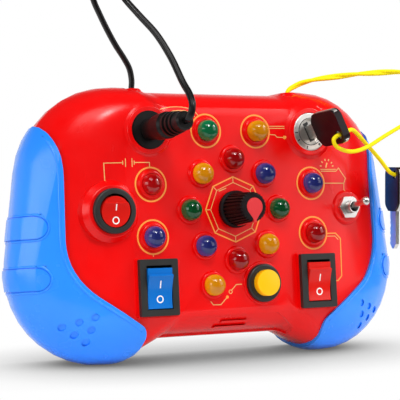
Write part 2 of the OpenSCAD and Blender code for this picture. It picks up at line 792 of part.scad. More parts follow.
module board_screws() {
    color(CHROME) for (p = board_screw_places) at(p, board_back)
        screw(board_screw_d, board_head_d, board_head_h, -board_back - 1.4);
}

// One lamp, turned: dome, barrel and the flange behind the wall
module lamp(l) {
    r = lamp_d / 2;
    color(LAMP_COLOURS[l[2]]) at(l[1]) rotate_extrude() {
        intersection() {
            translate([0, l[3]]) circle(r);
            translate([0, l[3]]) square(2 * r);
        }
        translate([0, -wall]) square([r, l[3] + wall]);
        translate([0, board_front]) square([lamp_flange_r, lamp_flange_t]);
    }
}

// Rocker side view, X along the paddle and Y out of the face, about its pivot
module paddle_side(l) {
    end = 4.2;
    ledge = [l / 2 - 3.2, l / 2 - 2.8];
    hollow_r = 26;
    difference() {
        polygon([[-l / 2 + 0.8, -3], [-l / 2, end - 0.6], [-l / 2 + 0.5, end], [ledge[0] - 0.4, end],
            [ledge[0], end - 0.4],
            [ledge[1], end - 1.7], [l / 2, end - 2], [l / 2 - 0.8, -3]]);
        translate([-1.6, pivot_drop + 0.2 + hollow_r]) circle(hollow_r, $fn = 128);
    }
}

module paddle_slab(w, l) {
    rotate([90, 0, 90]) linear_extrude(height = w, center = true) paddle_side(l);
}

module trunnion(reach) {
    rotate([0, 90, 0]) cylinder(r = rocker_pin_r, h = 2 * reach, center = true);
}

module trunnion_hole(reach) {
    rotate([0, 90, 0]) cylinder(r = rocker_pin_r + running, h = 2 * reach, center = true);
}

round_pivot = round_seat_h + rocker_rim_h - pivot_drop;
rocker_pivot = rocker_seat_h + rocker_rim_h - pivot_drop;
round_well_r = round_paddle_d / 2 + 2 * rocker_gap;
well_half = [paddle_w / 2 + paddle_side_gap, paddle_l / 2 + 2 * rocker_gap];

module terminals(n, pitch, z) {
    for (i = [0:n - 1]) translate([0, (i - (n - 1) / 2) * pitch, z - 3]) cube([terminal_w, 0.8, 6.4],
        center = true);
}

module round_rocker_body() {
    edge = 0.9;
    color(BLACK) at(round_place) difference() {
        union() {
            rotate_extrude() {
                polygon([[0, -rocker_body_h], [round_bore_r, -rocker_body_h], [round_bore_r, round_seat_h],
                    [round_bezel_d / 2, round_seat_h], [round_bezel_d / 2,
                        round_seat_h + rocker_rim_h - edge],
                    [round_bezel_d / 2 - edge, round_seat_h + rocker_rim_h], [0,
                        round_seat_h + rocker_rim_h]]);
                translate([round_bezel_d / 2 - edge, round_seat_h + rocker_rim_h - edge]) circle(edge);
            }
            terminals(2, 8, -rocker_body_h);
        }
        translate([0, 0, round_pivot - 6]) cylinder(r = round_well_r, h = 20);
        translate([0, 0, round_pivot]) trunnion_hole(round_bore_r - 0.8);
    }
}

module round_rocker_paddle() {
    color(RED) at(round_place, round_pivot) rotate([rocker_tilt, 0, 0]) {
        intersection() {
            paddle_slab(round_paddle_d + 2, round_paddle_d);
            cylinder(d = round_paddle_d, h = 20, center = true);
        }
        trunnion(round_bore_r - 0.9);
    }
}

module rocker_body() {
    pin_reach = rocker_cut_w / 2 - 0.7;
    color(BLACK) difference() {
        union() {
            translate([0, 0, rocker_seat_h]) linear_extrude(height = rocker_rim_h) rounded_rect(frame_w,
                frame_l, 0.8);
            translate([0, 0, (rocker_seat_h - rocker_body_h) / 2])
                cube([rocker_cut_w, rocker_cut_l, rocker_seat_h + rocker_body_h], center = true);
            terminals(3, 7, -rocker_body_h);
        }
        translate([0, 0, rocker_pivot + 4]) cube([2 * well_half.x, 2 * well_half.y, 20], center = true);
        translate([0, 0, rocker_pivot]) trunnion_hole(pin_reach);
    }
}

module rocker_paddle(paint) {
    pin_reach = rocker_cut_w / 2 - 0.8;
    color(paint) translate([0, 0, rocker_pivot]) rotate([rocker_tilt, 0, 0]) {
        paddle_slab(paddle_w, paddle_l);
        trunnion(pin_reach);
    }
}

module push_button_body() {
    edge = 1;
    top = push_seat_h + push_rim_h;
    inner = push_cap_d / 2 + running;
    base = push_seat_h - push_barrel_l;
    color(BLACK) at(push_place) {
        rotate_extrude() {
            difference() {
                union() {
                    polygon([[0, base], [push_barrel_d / 2, base], [push_barrel_d / 2, push_seat_h],
                        [push_bezel_d / 2, push_seat_h], [push_bezel_d / 2, top - edge],
                            [push_bezel_d / 2 - edge, top], [0, top]]);
                    translate([push_bezel_d / 2 - edge, top - edge]) circle(edge);
                }
                translate([0, base + 1.5]) square([inner, 40]);
            }
        }
        terminals(2, 6, base);
    }
}

module push_button_nut() {
    color(BLACK) at(push_place, -wall - push_nut_h) linear_extrude(height = push_nut_h) difference() {
        circle(d = push_nut_d);
        circle(d = push_barrel_d + 2 * snug);
    }
}

push_skirt_z = push_seat_h + push_rim_h - push_skirt;
push_floor_z = push_seat_h - push_barrel_l + 1.5;

module push_button_cap() {
    r = push_cap_d / 2;
    edge = 1.2;
    dome_r = 40;
    color(YELLOW) at(push_place) rotate_extrude() {
        intersection() {
            union() {
                polygon([[0, push_skirt_z], [r, push_skirt_z], [r, push_cap_top - edge], [r - edge,
                    push_cap_top], [0, push_cap_top]]);
                translate([r - edge, push_cap_top - edge]) circle(edge);
            }
            translate([0, push_cap_top - dome_r]) circle(dome_r, $fn = 256);
        }
    }
}

// Points along a helix, for the return spring
function helix(r, rise, turns, steps) =
    [for (i = [0:turns * steps]) [r * cos(360 * i / steps), r * sin(360 * i / steps),
        rise * i / (turns * steps)]];

module push_button_spring() {
    rise = push_skirt_z - push_floor_z - spring_wire;
    color(CHROME) at(push_place, push_floor_z + spring_wire / 2)
        tube(helix(push_cap_d / 2 - 1.6, rise, spring_turns, 10), spring_wire, 6);
}

module potentiometer() {
    color(CHROME) at(knob_place) difference() {
        union() {
            translate([0, 0, -wall - pot_l]) cylinder(d = pot_d, h = pot_l);
            translate([0, 0, -wall]) cylinder(d = pot_bush_d, h = wall + pot_bush_h);
            translate([0, -pot_d / 2, -wall - pot_l + 1]) rotate([0, 0, 90]) terminals(3, 5, 2);
        }
        translate([0, 0, -wall - pot_l + 1]) cylinder(d = shaft_d + 2 * running, h = 40);
    }
}

module potentiometer_nut() {
    color(CHROME) at(knob_place) linear_extrude(height = pot_nut_h) difference() {
        hex(pot_nut_af);
        circle(d = pot_bush_d + 2 * snug);
    }
}

shaft_top = knob_h - 5;

module potentiometer_shaft() {
    foot = -wall - pot_l + 1.2;
    color(CHROME) at(knob_place, foot) cylinder(d = shaft_d, h = shaft_top - foot);
}

// The knob's hollow clears the nut and the bush
module knob() {
    hollow_r = pot_nut_af / cos(30) / 2 + 0.6;
    hollow_top = pot_bush_h + 0.8;
    cap_edge = 1;
    color(BLACK) at(knob_place) difference() {
        union() {
            rotate_extrude() {
                polygon([[0, knob_foot], [knob_d / 2, knob_foot], [knob_d / 2, knob_foot + skirt_h - 0.8],
                    [knob_d / 2 - 0.8, knob_foot + skirt_h], [0, knob_foot + skirt_h]]);
                polygon([[0, knob_foot + skirt_h], [barrel_d[0] / 2 - 0.3, knob_foot + skirt_h],
                    [barrel_d[1] / 2 - 0.2, knob_h - cap_edge], [barrel_d[1] / 2 - cap_edge, knob_h], [0,
                        knob_h]]);
            }
            for (i = [0:flutes - 1]) rotate([0, 0, 360 * i / flutes]) flute_rib();
        }
        translate([0, 0, knob_foot - 1]) cylinder(r = hollow_r, h = hollow_top - knob_foot + 1);
        cylinder(d = shaft_d + 0.04, h = shaft_top + 0.2);
        translate([0, 0, knob_h - pointer_t]) linear_extrude(height = 2) pointer_outline(seam);
        pointer_line(seam);
    }
}

// A rib that follows the taper of the knob's barrel
module flute_rib() {
    tip = 0.35;
    w = 0.9;
    rotate([90, 0, 0]) linear_extrude(height = w, center = true) polygon([[barrel_d[1] / 2 - 1.4,
        knob_foot + skirt_h - 0.4],
        [barrel_d[0] / 2 + tip, knob_foot + skirt_h - 0.4], [barrel_d[1] / 2 + tip, knob_h - 1.6],
        [barrel_d[1] / 2 - 0.5, knob_h - 0.9], [barrel_d[1] / 2 - 1.4, knob_h - 0.9]]);
}

// Teardrop that points down the face
module pointer_outline(gap) {
    r = pointer_d / 2 + gap;
    tip = barrel_d[1] / 2 + 0.6;
    side = acos(r / tip);
    circle(r);
    polygon([[0, 0], [-r * sin(side), -r * cos(side)], [0, -tip], [r * sin(side), -r * cos(side)]]);
}

// Line of the pointer down the side of the barrel
module pointer_line(gap) {
    w = 1.4 + 2 * gap;
    foot = knob_foot + skirt_h - gap;
    rotate([90, 0, -90]) linear_extrude(height = w, center = true) polygon([[barrel_d[0] / 2 - 0.9 - gap,
        foot],
        [barrel_d[0] / 2 + 0.6, foot], [barrel_d[1] / 2 + 0.6, knob_h + gap],
            [barrel_d[1] / 2 - 0.9 - gap, knob_h + gap]]);
}

module knob_pointer() {
    color(RED) at(knob_place) {
        translate([0, 0, knob_h - pointer_t]) linear_extrude(height = pointer_t) pointer_outline(0);
        pointer_line(0);
    }
}

module toggle_body() {
    mouth = toggle_seat_h + toggle_bush_h;
    bore_r = lever_ball_r + running;
    color(CHROME) at(toggle_place) difference() {
        union() {
            translate([0, 0, spot_z - toggle_box.z / 2]) cube(toggle_box, center = true);
            translate([0, 0, spot_z - 1]) cylinder(d = toggle_bush_d, h = mouth + 1 - spot_z);
            terminals(3, 4.6, spot_z - toggle_box.z);
        }
        translate([0, 0, toggle_pivot - 5]) cylinder(r = bore_r, h = 20);
        translate([0, 0, mouth - 2]) cylinder(r1 = bore_r, r2 = bore_r + 0.5, h = 2.1);
        translate([0, 0, toggle_pivot]) rotate([0, 90, 0])
            cylinder(r = toggle_pin_r + running, h = toggle_bush_d + 1, center = true);
    }
}

module toggle_nut() {
    color(CHROME) at(toggle_place, toggle_seat_h) difference() {
        intersection() {
            linear_extrude(height = toggle_nut_h) hex(toggle_nut_af);
            cylinder(d1 = toggle_nut_af * 1.6, d2 = toggle_nut_af * 1.07, h = toggle_nut_h);
        }
        cylinder(d = toggle_bush_d + 2 * snug, h = 20, center = true);
    }
}

module toggle_lever() {
    color(CHROME) at(toggle_place, toggle_pivot) rotate([-lever_tilt, 0, 0]) {
        sphere(lever_ball_r);
        rotate([0, 90, 0]) cylinder(r = toggle_pin_r, h = toggle_pin_l, center = true);
        translate([0, 0, -3]) cylinder(r = 0.9, h = 3);
        cylinder(r1 = lever_r, r2 = lever_r + 0.2, h = lever_l);
        translate([0, 0, lever_l]) sphere(lever_tip_r);
    }
}

module lock_body() {
    edge = 0.6;
    bevel = 0.3;
    foot = lock_floor - lock_l - 6;
    top = lock_floor + lock_rim_h;
    rim_r = lock_bezel_d / 2;
    core_r = lock_core_d / 2 + running;
    color(CHROME) at(lock_place) {
        rotate_extrude() difference() {
            union() {
                polygon([[0, foot], [lock_barrel_d / 2, foot], [lock_barrel_d / 2, lock_floor],
                    [rim_r, lock_floor], [rim_r, top - edge], [rim_r - edge, top], [0, top]]);
                translate([rim_r - edge, top - edge]) circle(edge);
            }
            translate([0, foot + 2]) square([core_r, top - foot]);
            polygon([[0, top - bevel], [core_r, top - bevel], [core_r + bevel, top], [core_r + bevel, top + 1],
                [0, top + 1]]);
        }
        terminals(2, 8, foot);
    }
}

module lock_nut() {
    color(CHROME) at(lock_place, spot_z - lock_nut_h) linear_extrude(height = lock_nut_h) difference() {
        circle(d = lock_nut_d);
        circle(d = lock_barrel_d + 2 * snug);
    }
}

module lock_cylinder() {
    foot = lock_floor - lock_l - 3.8;
    top = lock_floor + lock_rim_h - core_drop;
    tip = key_root - blade_l;
    color(CHROME) at(lock_place) rotate([0, 0, key_turn]) difference() {
        translate([0, 0, foot]) cylinder(d = lock_core_d, h = top - foot);
        translate([0, 0, (top + tip) / 2]) cube([blade_t + 2 * slot_gap, blade_w + 2 * slot_gap,
            top - tip + 2 * slot_gap], center = true);
    }
}

// Key standing on its tip's end: width along Y, length along Z, with the bow's root at the origin
module key_outline() {
    tooth = 1.5;
    pitch = 2.6;
    cuts = 5;
    difference() {
        polygon([[-blade_w / 2, 0], [-blade_w / 2, -blade_l + 2.4], [-1, -blade_l], [1, -blade_l],
            [blade_w / 2, -blade_l + 2.4], [blade_w / 2, 0]]);
        for (i = [0:cuts - 1]) translate([blade_w / 2 + 0.4, -blade_l + 3.8 + pitch * i]) rotate(45)
            square(tooth * (i % 2 == 0 ? 1 : 1.4), center = true);
    }
    intersection() {
        bow_outline(head_proud);
        translate([0, bow_l / 2 - bow_end]) square([2 * bow_w, bow_l], center = true);
    }
}

module key_metal() {
    rotate([90, 0, 90]) linear_extrude(height = blade_t, center = true) difference() {
        key_outline();
        translate(key_hole) circle(d = key_hole_d);
    }
}

module bow_outline(by = 0) {
    shoulder = 5;
    corner_x = bow_w / 2 - bow_corner;
    hull() {
        for (x = [-1, 1]) for (y = [bow_l - bow_corner, shoulder]) translate([x * corner_x, y])
            circle(bow_corner + by);
        square([blade_w + 1 + 2 * by, 0.1], center = true);
    }
}

// Plastic bow folded over the metal head, whose edges show on both sides
module key_plastic() {
    pocket = snug / 2;
    slot_l = bow_l - bow_end + pocket;
    difference() {
        rotate([90, 0, 90]) linear_extrude(height = bow_t, center = true) difference() {
            bow_outline();
            translate(key_hole) circle(d = key_hole_d);
        }
        rotate([90, 0, 90]) linear_extrude(height = blade_t + 2 * pocket, center = true)
            translate([0, slot_l - bow_l]) square([2 * bow_w, 2 * bow_l], center = true);
    }
}

module in_lock() {
    at(lock_place, key_root) rotate([0, 0, key_turn]) children();
}

// The spare key hangs upright from its hole, with its blade down
module on_string() {
    translate(spare_key_place) rotate([lean, 0, 0]) rotate([-90, 0, 0]) rotate([0, 0, spare_key_yaw])
        children();
}

module jack_socket() {
    seat = jack_seat_h - jack_lip;
    color(BLACK) at(jack_place) {
        rotate_extrude() difference() {
            union() {
                translate([0, seat]) square([jack_d / 2, jack_flange_h - 0.4]);
                translate([0, seat]) square([jack_d / 2 - 0.4, jack_flange_h]);
                translate([0, seat - jack_l]) square([jack_barrel_d / 2, jack_l + 0.1]);
            }
            translate([0, seat - pin_l]) square([jack_bore_d / 2, 40]);
        }
        terminals(2, 5, seat - jack_l);
    }
}

module jack_nut() {
    color(CHROME) at(jack_place, spot_z - jack_nut_h) linear_extrude(height = jack_nut_h) difference() {
        hex(jack_nut_d * cos(30));
        circle(d = jack_barrel_d + 2 * snug);
    }
}

// Plug handle, turned: waist, sleeve, ribs and a tapered end
module plug_body() {
    waist_r = plug_d / 2 - 0.9;
    sleeve = plug_face + 9.9;
    ribs_from = plug_face + 20.4;
    rib_w = 1.6;
    end_r = 4.4;
    color(BLACK) at(jack_place) rotate_extrude() difference() {
        union() {
            polygon([[0, plug_face], [waist_r - 0.6, plug_face], [waist_r, plug_face + 0.6],
                [waist_r, sleeve - 1], [plug_d / 2, sleeve], [plug_d / 2 + 0.2, ribs_from - 2],
                [plug_d / 2 - 0.4, ribs_from - 1], [plug_d / 2 - 1.4, ribs_from], [end_r, plug_h - 1],
                [end_r - 0.8, plug_h], [0, plug_h]]);
            for (i = [0:plug_ribs - 1]) let (z = ribs_from + rib_pitch * (i + 0.5))
                translate([0, z - rib_w / 2]) square([plug_d / 2 - 0.3 - 0.35 * i, rib_w]);
        }
        translate([0, plug_h - 6]) square([cable_d / 2 + snug, 10]);
        translate([0, plug_face - 1]) square([pin_d / 2 + snug / 2, 4]);
    }
}

module plug_pin() {
    edge = 0.4;
    tip = jack_seat_h - jack_lip - pin_l + 0.6;
    color(CHROME) at(jack_place) rotate_extrude() polygon([[pin_hole_d / 2, tip], [pin_d / 2 - edge, tip],
        [pin_d / 2, tip + edge], [pin_d / 2, plug_face + 3], [pin_hole_d / 2, plug_face + 3]]);
}

// A smooth curve through a route's points
function spline(p, i, t) =
    let (a = p[max(i - 1, 0)], b = p[i], c = p[i + 1], d = p[min(i + 2, len(p) - 1)])
    0.5 * (2 * b + (c - a) * t + (2 * a - 5 * b + 4 * c - d) * t * t + (3 * b - a - 3 * c + d) * t * t * t);
function smooth(p, steps) =
    concat([for (i = [0:len(p) - 2]) for (k = [0:steps - 1]) spline(p, i, k / steps)], [p[len(p) - 1]]);
function heading(p, i) = unit(p[min(i + 1, len(p) - 1)] - p[max(i - 1, 0)]);
function square_to(v, axis) = unit(v - axis * (v * axis));
// Side directions that turn as little as possible along the way
function sides_along(p) =
    let (first = heading(p, 0))
    [for (i = 0, s = square_to(abs(first.x) < 0.8 ? [1, 0, 0] : [0, 1, 0], first); i < len(p);
        i = i + 1, s = i < len(p) ? square_to(s, heading(p, i)) : s) s];

module tube(p, d, sides) {
    side = sides_along(p);
    skin([for (i = [0:len(p) - 1])
        let (u = side[i], v = cross(heading(p, i), u))
        [for (k = [0:sides - 1]) p[i] + d / 2 * (cos(360 * k / sides) * u + sin(360 * k / sides) * v)]]);
}

module plug_cable() {
    color(BLACK) tube(smooth(CABLE_ROUTE, cord_steps), cable_d, cord_sides);
}

module key_string() {
    color(YELLOW) tube(smooth(STRING_ROUTE, cord_steps), string_d, cord_sides);
}

// Turned grommet on the top edge, with the cord through it
module grommet(cord_d) {
    edge = 0.8;
    neck = 5.4;
    bore_gap = 0.15;
    color(RED) translate([grommet_place.x, grommet_seat, grommet_place.y]) rotate([-90, 0, 0])
        rotate_extrude()
        polygon([[cord_d / 2 + bore_gap, -neck], [grommet_neck_r, -neck], [grommet_neck_r, 0], [grommet_r, 0],
            [grommet_r, grommet_flange - edge], [grommet_r - edge, grommet_flange],
            [cord_d / 2 + bore_gap, grommet_flange]]);
}

// Leads. Each starts on a face of a terminal, runs towards the board and ends on the board's back
lead_d = 1.3;
function lead(x, y, z, end_x) =
    let (s = sign(end_x - x))
    [[x, y, z], [x + 1.5 * s, y, z], [x + 4 * s, y, z], [end_x - 3 * s, y, z + 1.2], [end_x - s, y, z + 3],
        [end_x, y, z + 6], [end_x, y, board_back - 1.2], [end_x, y, board_back]];
terminal_w = 4;
t_half = terminal_w / 2;
rocker_lead_z = -rocker_body_h - 3.4;
board_end = 49;
post_end = 26;
LEADS = concat(
    [for (y = [-4, 4]) lead(-round_seat_x + t_half, y, rocker_lead_z, -board_end)],
    [for (s = [-1, 1]) for (y = [0, 7]) lead(s * (rocker_x - t_half), lower_row_y + y, rocker_lead_z,
        s * post_end)],
    [for (y = [-3, 3]) lead(button_x - t_half, lower_row_y + y, push_seat_h - push_barrel_l - 3, -4)],
    [for (y = [0, 4.6]) lead(round_seat_x - t_half, y, spot_z - toggle_box.z - 3, board_end)],
    [for (y = [-4, 4]) lead(corner_seat.x - t_half, corner_seat.y + y, lock_floor - lock_l - 9, post_end)],
    [for (y = [-2.5, 2.5]) lead(-corner_seat.x + t_half, corner_seat.y + y,
        jack_seat_h - jack_lip - jack_l - 3, -post_end)],
    [for (s = [-1, 1]) [[s * well_w / 2, well_y, well_floor - 4],
        [s * (well_w / 2 + 1.2), well_y, well_floor - 4],
        [s * (well_w / 2 + 3.6), well_y, well_floor - 3], [s * (well_w / 2 + 5), well_y, well_floor],
        [s * (well_w / 2 + 5), well_y, board_back - 1.2], [s * (well_w / 2 + 5), well_y, board_back]]]);

module wiring() {
    color(BLACK) for (l = LEADS) tube(l, lead_d, 6);
}

stand() front_shell();
stand() rear_shell();
left_grip();
right_grip();
stand() battery_cover();
stand() battery_cover_screw();
stand() housing_screws();
stand() battery_cells();
stand() battery_contacts();
stand() circuit_board();
stand() board_screws();
stand() wiring();
for (l = LAMPS) stand() lamp(l);
stand() round_rocker_body();
stand() round_rocker_paddle();
stand() at([-rocker_x, lower_row_y]) rocker_body();  // left_rocker_body
stand() at([-rocker_x, lower_row_y]) rocker_paddle(BLUE);  // left_rocker_paddle
stand() at([rocker_x, lower_row_y]) rocker_body();  // right_rocker_body
stand() at([rocker_x, lower_row_y]) rocker_paddle(RED);  // right_rocker_paddle
stand() push_button_body();
stand() push_button_nut();
stand() push_button_cap();
stand() push_button_spring();
stand() potentiometer();
stand() potentiometer_nut();
stand() potentiometer_shaft();
stand() knob();
stand() knob_pointer();
stand() toggle_body();
stand() toggle_nut();
stand() toggle_lever();
stand() lock_body();
stand() lock_nut();
stand() lock_cylinder();
stand() in_lock() color(CHROME) key_metal();  // key_blade
stand() in_lock() color(BLACK) key_plastic();  // key_bow
stand() on_string() color(CHROME) key_metal();  // spare_key_blade
stand() on_string() color(BLACK) key_plastic();  // spare_key_bow
stand() jack_socket();
stand() jack_nut();
stand() plug_body();
stand() plug_pin();
stand() plug_cable();
stand() key_string();
stand() mirror([1, 0, 0]) grommet(cable_d);  // cable_grommet
stand() grommet(string_d);  // string_grommet
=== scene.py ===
import json
import math

import bmesh
import bpy
import numpy as np
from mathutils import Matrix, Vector
from mathutils.bvhtree import BVHTree


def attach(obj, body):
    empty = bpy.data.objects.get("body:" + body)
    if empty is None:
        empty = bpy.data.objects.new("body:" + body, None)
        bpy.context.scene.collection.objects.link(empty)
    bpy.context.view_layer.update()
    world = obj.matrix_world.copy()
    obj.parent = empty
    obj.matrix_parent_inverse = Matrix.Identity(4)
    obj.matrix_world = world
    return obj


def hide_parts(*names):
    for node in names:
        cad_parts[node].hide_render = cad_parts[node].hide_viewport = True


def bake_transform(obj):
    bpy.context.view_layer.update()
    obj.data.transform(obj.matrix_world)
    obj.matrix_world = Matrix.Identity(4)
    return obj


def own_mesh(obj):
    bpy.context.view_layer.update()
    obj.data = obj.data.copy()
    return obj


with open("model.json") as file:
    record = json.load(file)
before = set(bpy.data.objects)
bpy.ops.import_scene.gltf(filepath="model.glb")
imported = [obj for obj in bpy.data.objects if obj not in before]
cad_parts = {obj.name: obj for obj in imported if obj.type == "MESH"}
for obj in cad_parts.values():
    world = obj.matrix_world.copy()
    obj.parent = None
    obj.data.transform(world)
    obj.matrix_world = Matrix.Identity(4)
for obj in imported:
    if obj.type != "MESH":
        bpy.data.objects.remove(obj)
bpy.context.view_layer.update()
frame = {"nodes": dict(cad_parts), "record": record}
NODES = frame["nodes"]
SCENE = bpy.context.scene
SCENE.view_settings.view_transform = "Standard"

MM = 0.001

# Lengths are in the board's millimetres. Those taken times MM, the camera's and the stage's
# are in metres.

# The board's own frame, from the dial's foot: x to the right, y up the face, z out of the face
LEAN = math.radians(5.5)
SETBACK = 13.513
DIAL_HEIGHT = 72.744
OUT = Vector((0, -math.cos(LEAN), math.sin(LEAN)))


def board(x, y, z=0.0):
    """The row-frame point, in metres, of a point in the board's frame."""
    return Vector((
        x,
        y * math.sin(LEAN) - z * math.cos(LEAN) - SETBACK,
        y * math.cos(LEAN) + z * math.sin(LEAN) + DIAL_HEIGHT,
    )) * MM


# Camera at the photograph's viewing angle

CAMERA_PLACE = (-0.34544, -0.61870, 0.09458)
CAMERA_TARGET = Vector((-0.01862, -0.01352, 0.07743))
SENSOR_WIDTH = 36
FOCAL_LENGTH = 131.15
NEAR_CLIP = 0.01

camera = bpy.data.objects.new("camera", bpy.data.cameras.new("camera"))
SCENE.collection.objects.link(camera)
SCENE.camera = camera
camera.location = CAMERA_PLACE
camera.rotation_euler = (CAMERA_TARGET - camera.location).to_track_quat("-Z", "Y").to_euler()
camera.data.sensor_width = SENSOR_WIDTH
camera.data.lens = FOCAL_LENGTH
camera.data.clip_start = NEAR_CLIP


# Mesh helpers

NEARLY_ALONG = 0.8


def mesh_object(name, vertices, faces, smooth=True):
    mesh = bpy.data.meshes.new(name)
    mesh.from_pydata([tuple(v) for v in vertices], [], faces)
    mesh.update()
    obj = bpy.data.objects.new(name, mesh)
    SCENE.collection.objects.link(obj)
    if smooth:
        mesh.shade_smooth()
    return obj


def smooth_path(points, steps):
    """Catmull-Rom points through the given ones."""
    p = [np.array(q, float) for q in points]
    out = []
    for i in range(len(p) - 1):
        a, b, c, d = p[max(i - 1, 0)], p[i], p[i + 1], p[min(i + 2, len(p) - 1)]
        for k in range(steps):
            t = k / steps
            out.append(0.5 * (2 * b + (c - a) * t
                              + (2 * a - 5 * b + 4 * c - d) * t * t
                              + (3 * b - a - 3 * c + d) * t ** 3))
    out.append(p[-1])
    return out


def unit(v):
    return v / np.linalg.norm(v)


def carried_sides(path):
    """Tangents along a path, and side directions that turn as little as possible."""
    end = len(path) - 1
    tangents = [unit(path[min(i + 1, end)] - path[max(i - 1, 0)]) for i in range(len(path))]
    starts_along_y = abs(tangents[0][1]) >= NEARLY_ALONG
    side = np.array([1.0, 0.0, 0.0] if starts_along_y else [0.0, 1.0, 0.0])
    sides = []
    for t in tangents:
        side = unit(side - t * np.dot(side, t))
        sides.append(side)
    return tangents, sides


def swept(name, path, section, count):
    """A closed tube along path: section(i, angle) gives a ring point's two offsets from it."""
    tangents, sides = carried_sides(path)
    vertices, faces = [], []
    for i, p in enumerate(path):
        u, v = sides[i], np.cross(tangents[i], sides[i])
        for k in range(count):
            a, b = section(i, 2 * math.pi * k / count)
            vertices.append(p + u * a + v * b)
    rings = len(path)
    for i in range(rings - 1):
        here, there = i * count, (i + 1) * count
        for k in range(count):
            j = (k + 1) % count
            faces.append((here + k, here + j, there + j, there + k))
    faces.append(tuple(range(count - 1, -1, -1)))
    faces.append(tuple((rings - 1) * count + k for k in range(count)))
    return mesh_object(name, vertices, faces)


# Cords: routes in the board's frame. They follow the solids, but the cable turns into the
# plug in a wider bend.

CORD_END = 50.2
STRING_FAR = (121.8, 61, -1)
CABLE_ROUTE = [
    (-43.6, CORD_END, -17), (-43.6, 53, -17), (-43.6, 56, -17), (-43.6, 59.6, -17),
    (-43.3, 63.6, -17), (-44.2, 69, -17), (-47, 74, -16.8), (-51.5, 80, -16),
    (-56, 87, -15), (-60, 94, -14), (-63.5, 100, -12.4), (-66.2, 106, -9),
    (-67.4, 110, -4), (-66.8, 111, 1.5), (-64.4, 108.5, 5.8), (-61, 103, 7.4),
    (-57.2, 97, 8.2), (-52.3, 88.5, 13), (-47.8, 79, 20), (-44.6, 67.5, 27),
    (-43.2, 55.5, 34.4), (-42.7, 49.6, 39.2), (-43, 45.2, 42.3), (-43.5, 42.4, 43.1),
    (-43.8, 40, 42.4), (-44, 38.3, 40.6), (-44, 37.7, 38.2), (-44, 37.6, 35),
    (-44, 37.6, 32)]
STRING_ROUTE = [
    (43.6, CORD_END, -17), (43.6, 53, -17), (43.6, 56, -17), (43.6, 59.2, -17),
    (45, 61.2, -17), (48.4, 63, -17), (53.2, 64.9, -17), (62, 66.9, -16),
    (74, 68.4, -14), (84, 69.6, -13), (92, 70.2, -12), (101, 70.8, -11),
    (109, 71, -10), (115.5, 70, -8), (120, 66.5, -5), STRING_FAR,
    (119.6, 54.6, 3), (113, 49, 6), (104, 44.4, 8), (92.6, 39.6, 10),
    (80, 34.4, 14), (66.6, 28.6, 18.4), (57, 26, 21), (49.6, 26, 23.2),
    (43.4, 28, 25), (41.4, 30.8, 26.2), (43, 32.6, 26.6), (45.8, 33.7, 26.7),
    (49.6, 35.2, 26.2), (54, 36, 24), (59.4, 34.6, 20), (69.4, 29.6, 14),
    (79.4, 23.4, 9.4), (84.4, 19, 7.8), (87.4, 16.4, 7.6), (90.8, 15.4, 8.3),
    (94.8, 15.3, 9.3)]
CORD_STEPS = 8

# The web between two leads, as a share of their thickness
WEB_SHARE = 0.72

# The cable turns over by an angle, from a place and over a stretch that are in half lengths
CABLE_WIDTH = 3.2 * MM
CABLE_THICKNESS = 2.55 * MM
CABLE_SIDES = 32
CABLE_TURN = math.radians(130)
TURN_FROM = 0.7
TURN_OVER = 0.6

# The string runs double between two places that are in route points, as is the fade there
STRING_WIDTH = 2.0 * MM
STRING_SIDES = 24
STRING_TWIST = 52 * MM
PLY_WIDTH = 1.6 * STRING_WIDTH
PLY_START = 3
PLY_END = STRING_ROUTE.index(STRING_FAR)
PLY_FADE = 3


def row_path(route):
    return [np.array(board(*p)) for p in smooth_path(route, CORD_STEPS)]


def clamped(share):
    return min(max(share, 0), 1)


def twin_lead(width, thickness):
    """Section of two round leads moulded side by side: distance from the middle by angle."""
    lead = thickness / 2
    reach = width / 2 - lead

    def distance(angle):
        c, s = abs(math.cos(angle)), abs(math.sin(angle))
        inside = lead ** 2 - (reach * s) ** 2
        round_part = reach * c + math.sqrt(inside) if inside > 0 else 0
        return max(round_part, lead * WEB_SHARE)
    return distance


def build_cable():
    """A twin lead that turns over half way along, so that its wide side shows in front."""
    path = row_path(CABLE_ROUTE)
    distance = twin_lead(CABLE_WIDTH, CABLE_THICKNESS)
    half = len(path) / 2

    def section(i, angle):
        turned = angle + CABLE_TURN * clamped((i - TURN_FROM * half) / (TURN_OVER * half))
        r = distance(angle)
        return r * math.cos(turned), r * math.sin(turned)
    return swept("cable_jacket", path, section, CABLE_SIDES), path


def build_string():
    """Two plies twisted together from the grommet to the far turn, and one from there on."""
    path = row_path(STRING_ROUTE)
    ply = twin_lead(PLY_WIDTH, STRING_WIDTH)
    walked = [0.0]
    for a, b in zip(path, path[1:]):
        walked.append(walked[-1] + float(np.linalg.norm(b - a)))

    def section(i, angle):
        along = i / CORD_STEPS
        doubled = clamped(min(along - PLY_START, PLY_END - along) / PLY_FADE)
        turned = angle + 2 * math.pi * walked[i] / STRING_TWIST
        r = ply(angle) * doubled + STRING_WIDTH / 2 * (1 - doubled)
        return r * math.cos(turned), r * math.sin(turned)
    return swept("twisted_string", path, section, STRING_SIDES), path


cable, cable_path = build_cable()
string, string_path = build_string()


# Materials

MOTTLE_SCALE = 38.0
MOTTLE_DETAIL = 4.0
GLOSS_SCALE = 90.0
GLOSS_DETAIL = 3.0
GLOSS_LOW = 0.85
GLOSS_HIGH = 1.2
GRAIN_DETAIL = 2.0
NOISE_LOW = 0.3
NOISE_HIGH = 0.7
SKIN_DEPTH = 0.04 * MM


def noise(tree, coords, scale, detail):
    made = tree.nodes.new("ShaderNodeTexNoise")
    made.inputs["Scale"].default_value = scale
    made.inputs["Detail"].default_value = detail
    tree.links.new(coords, made.inputs["Vector"])
    return made.outputs["Fac"]


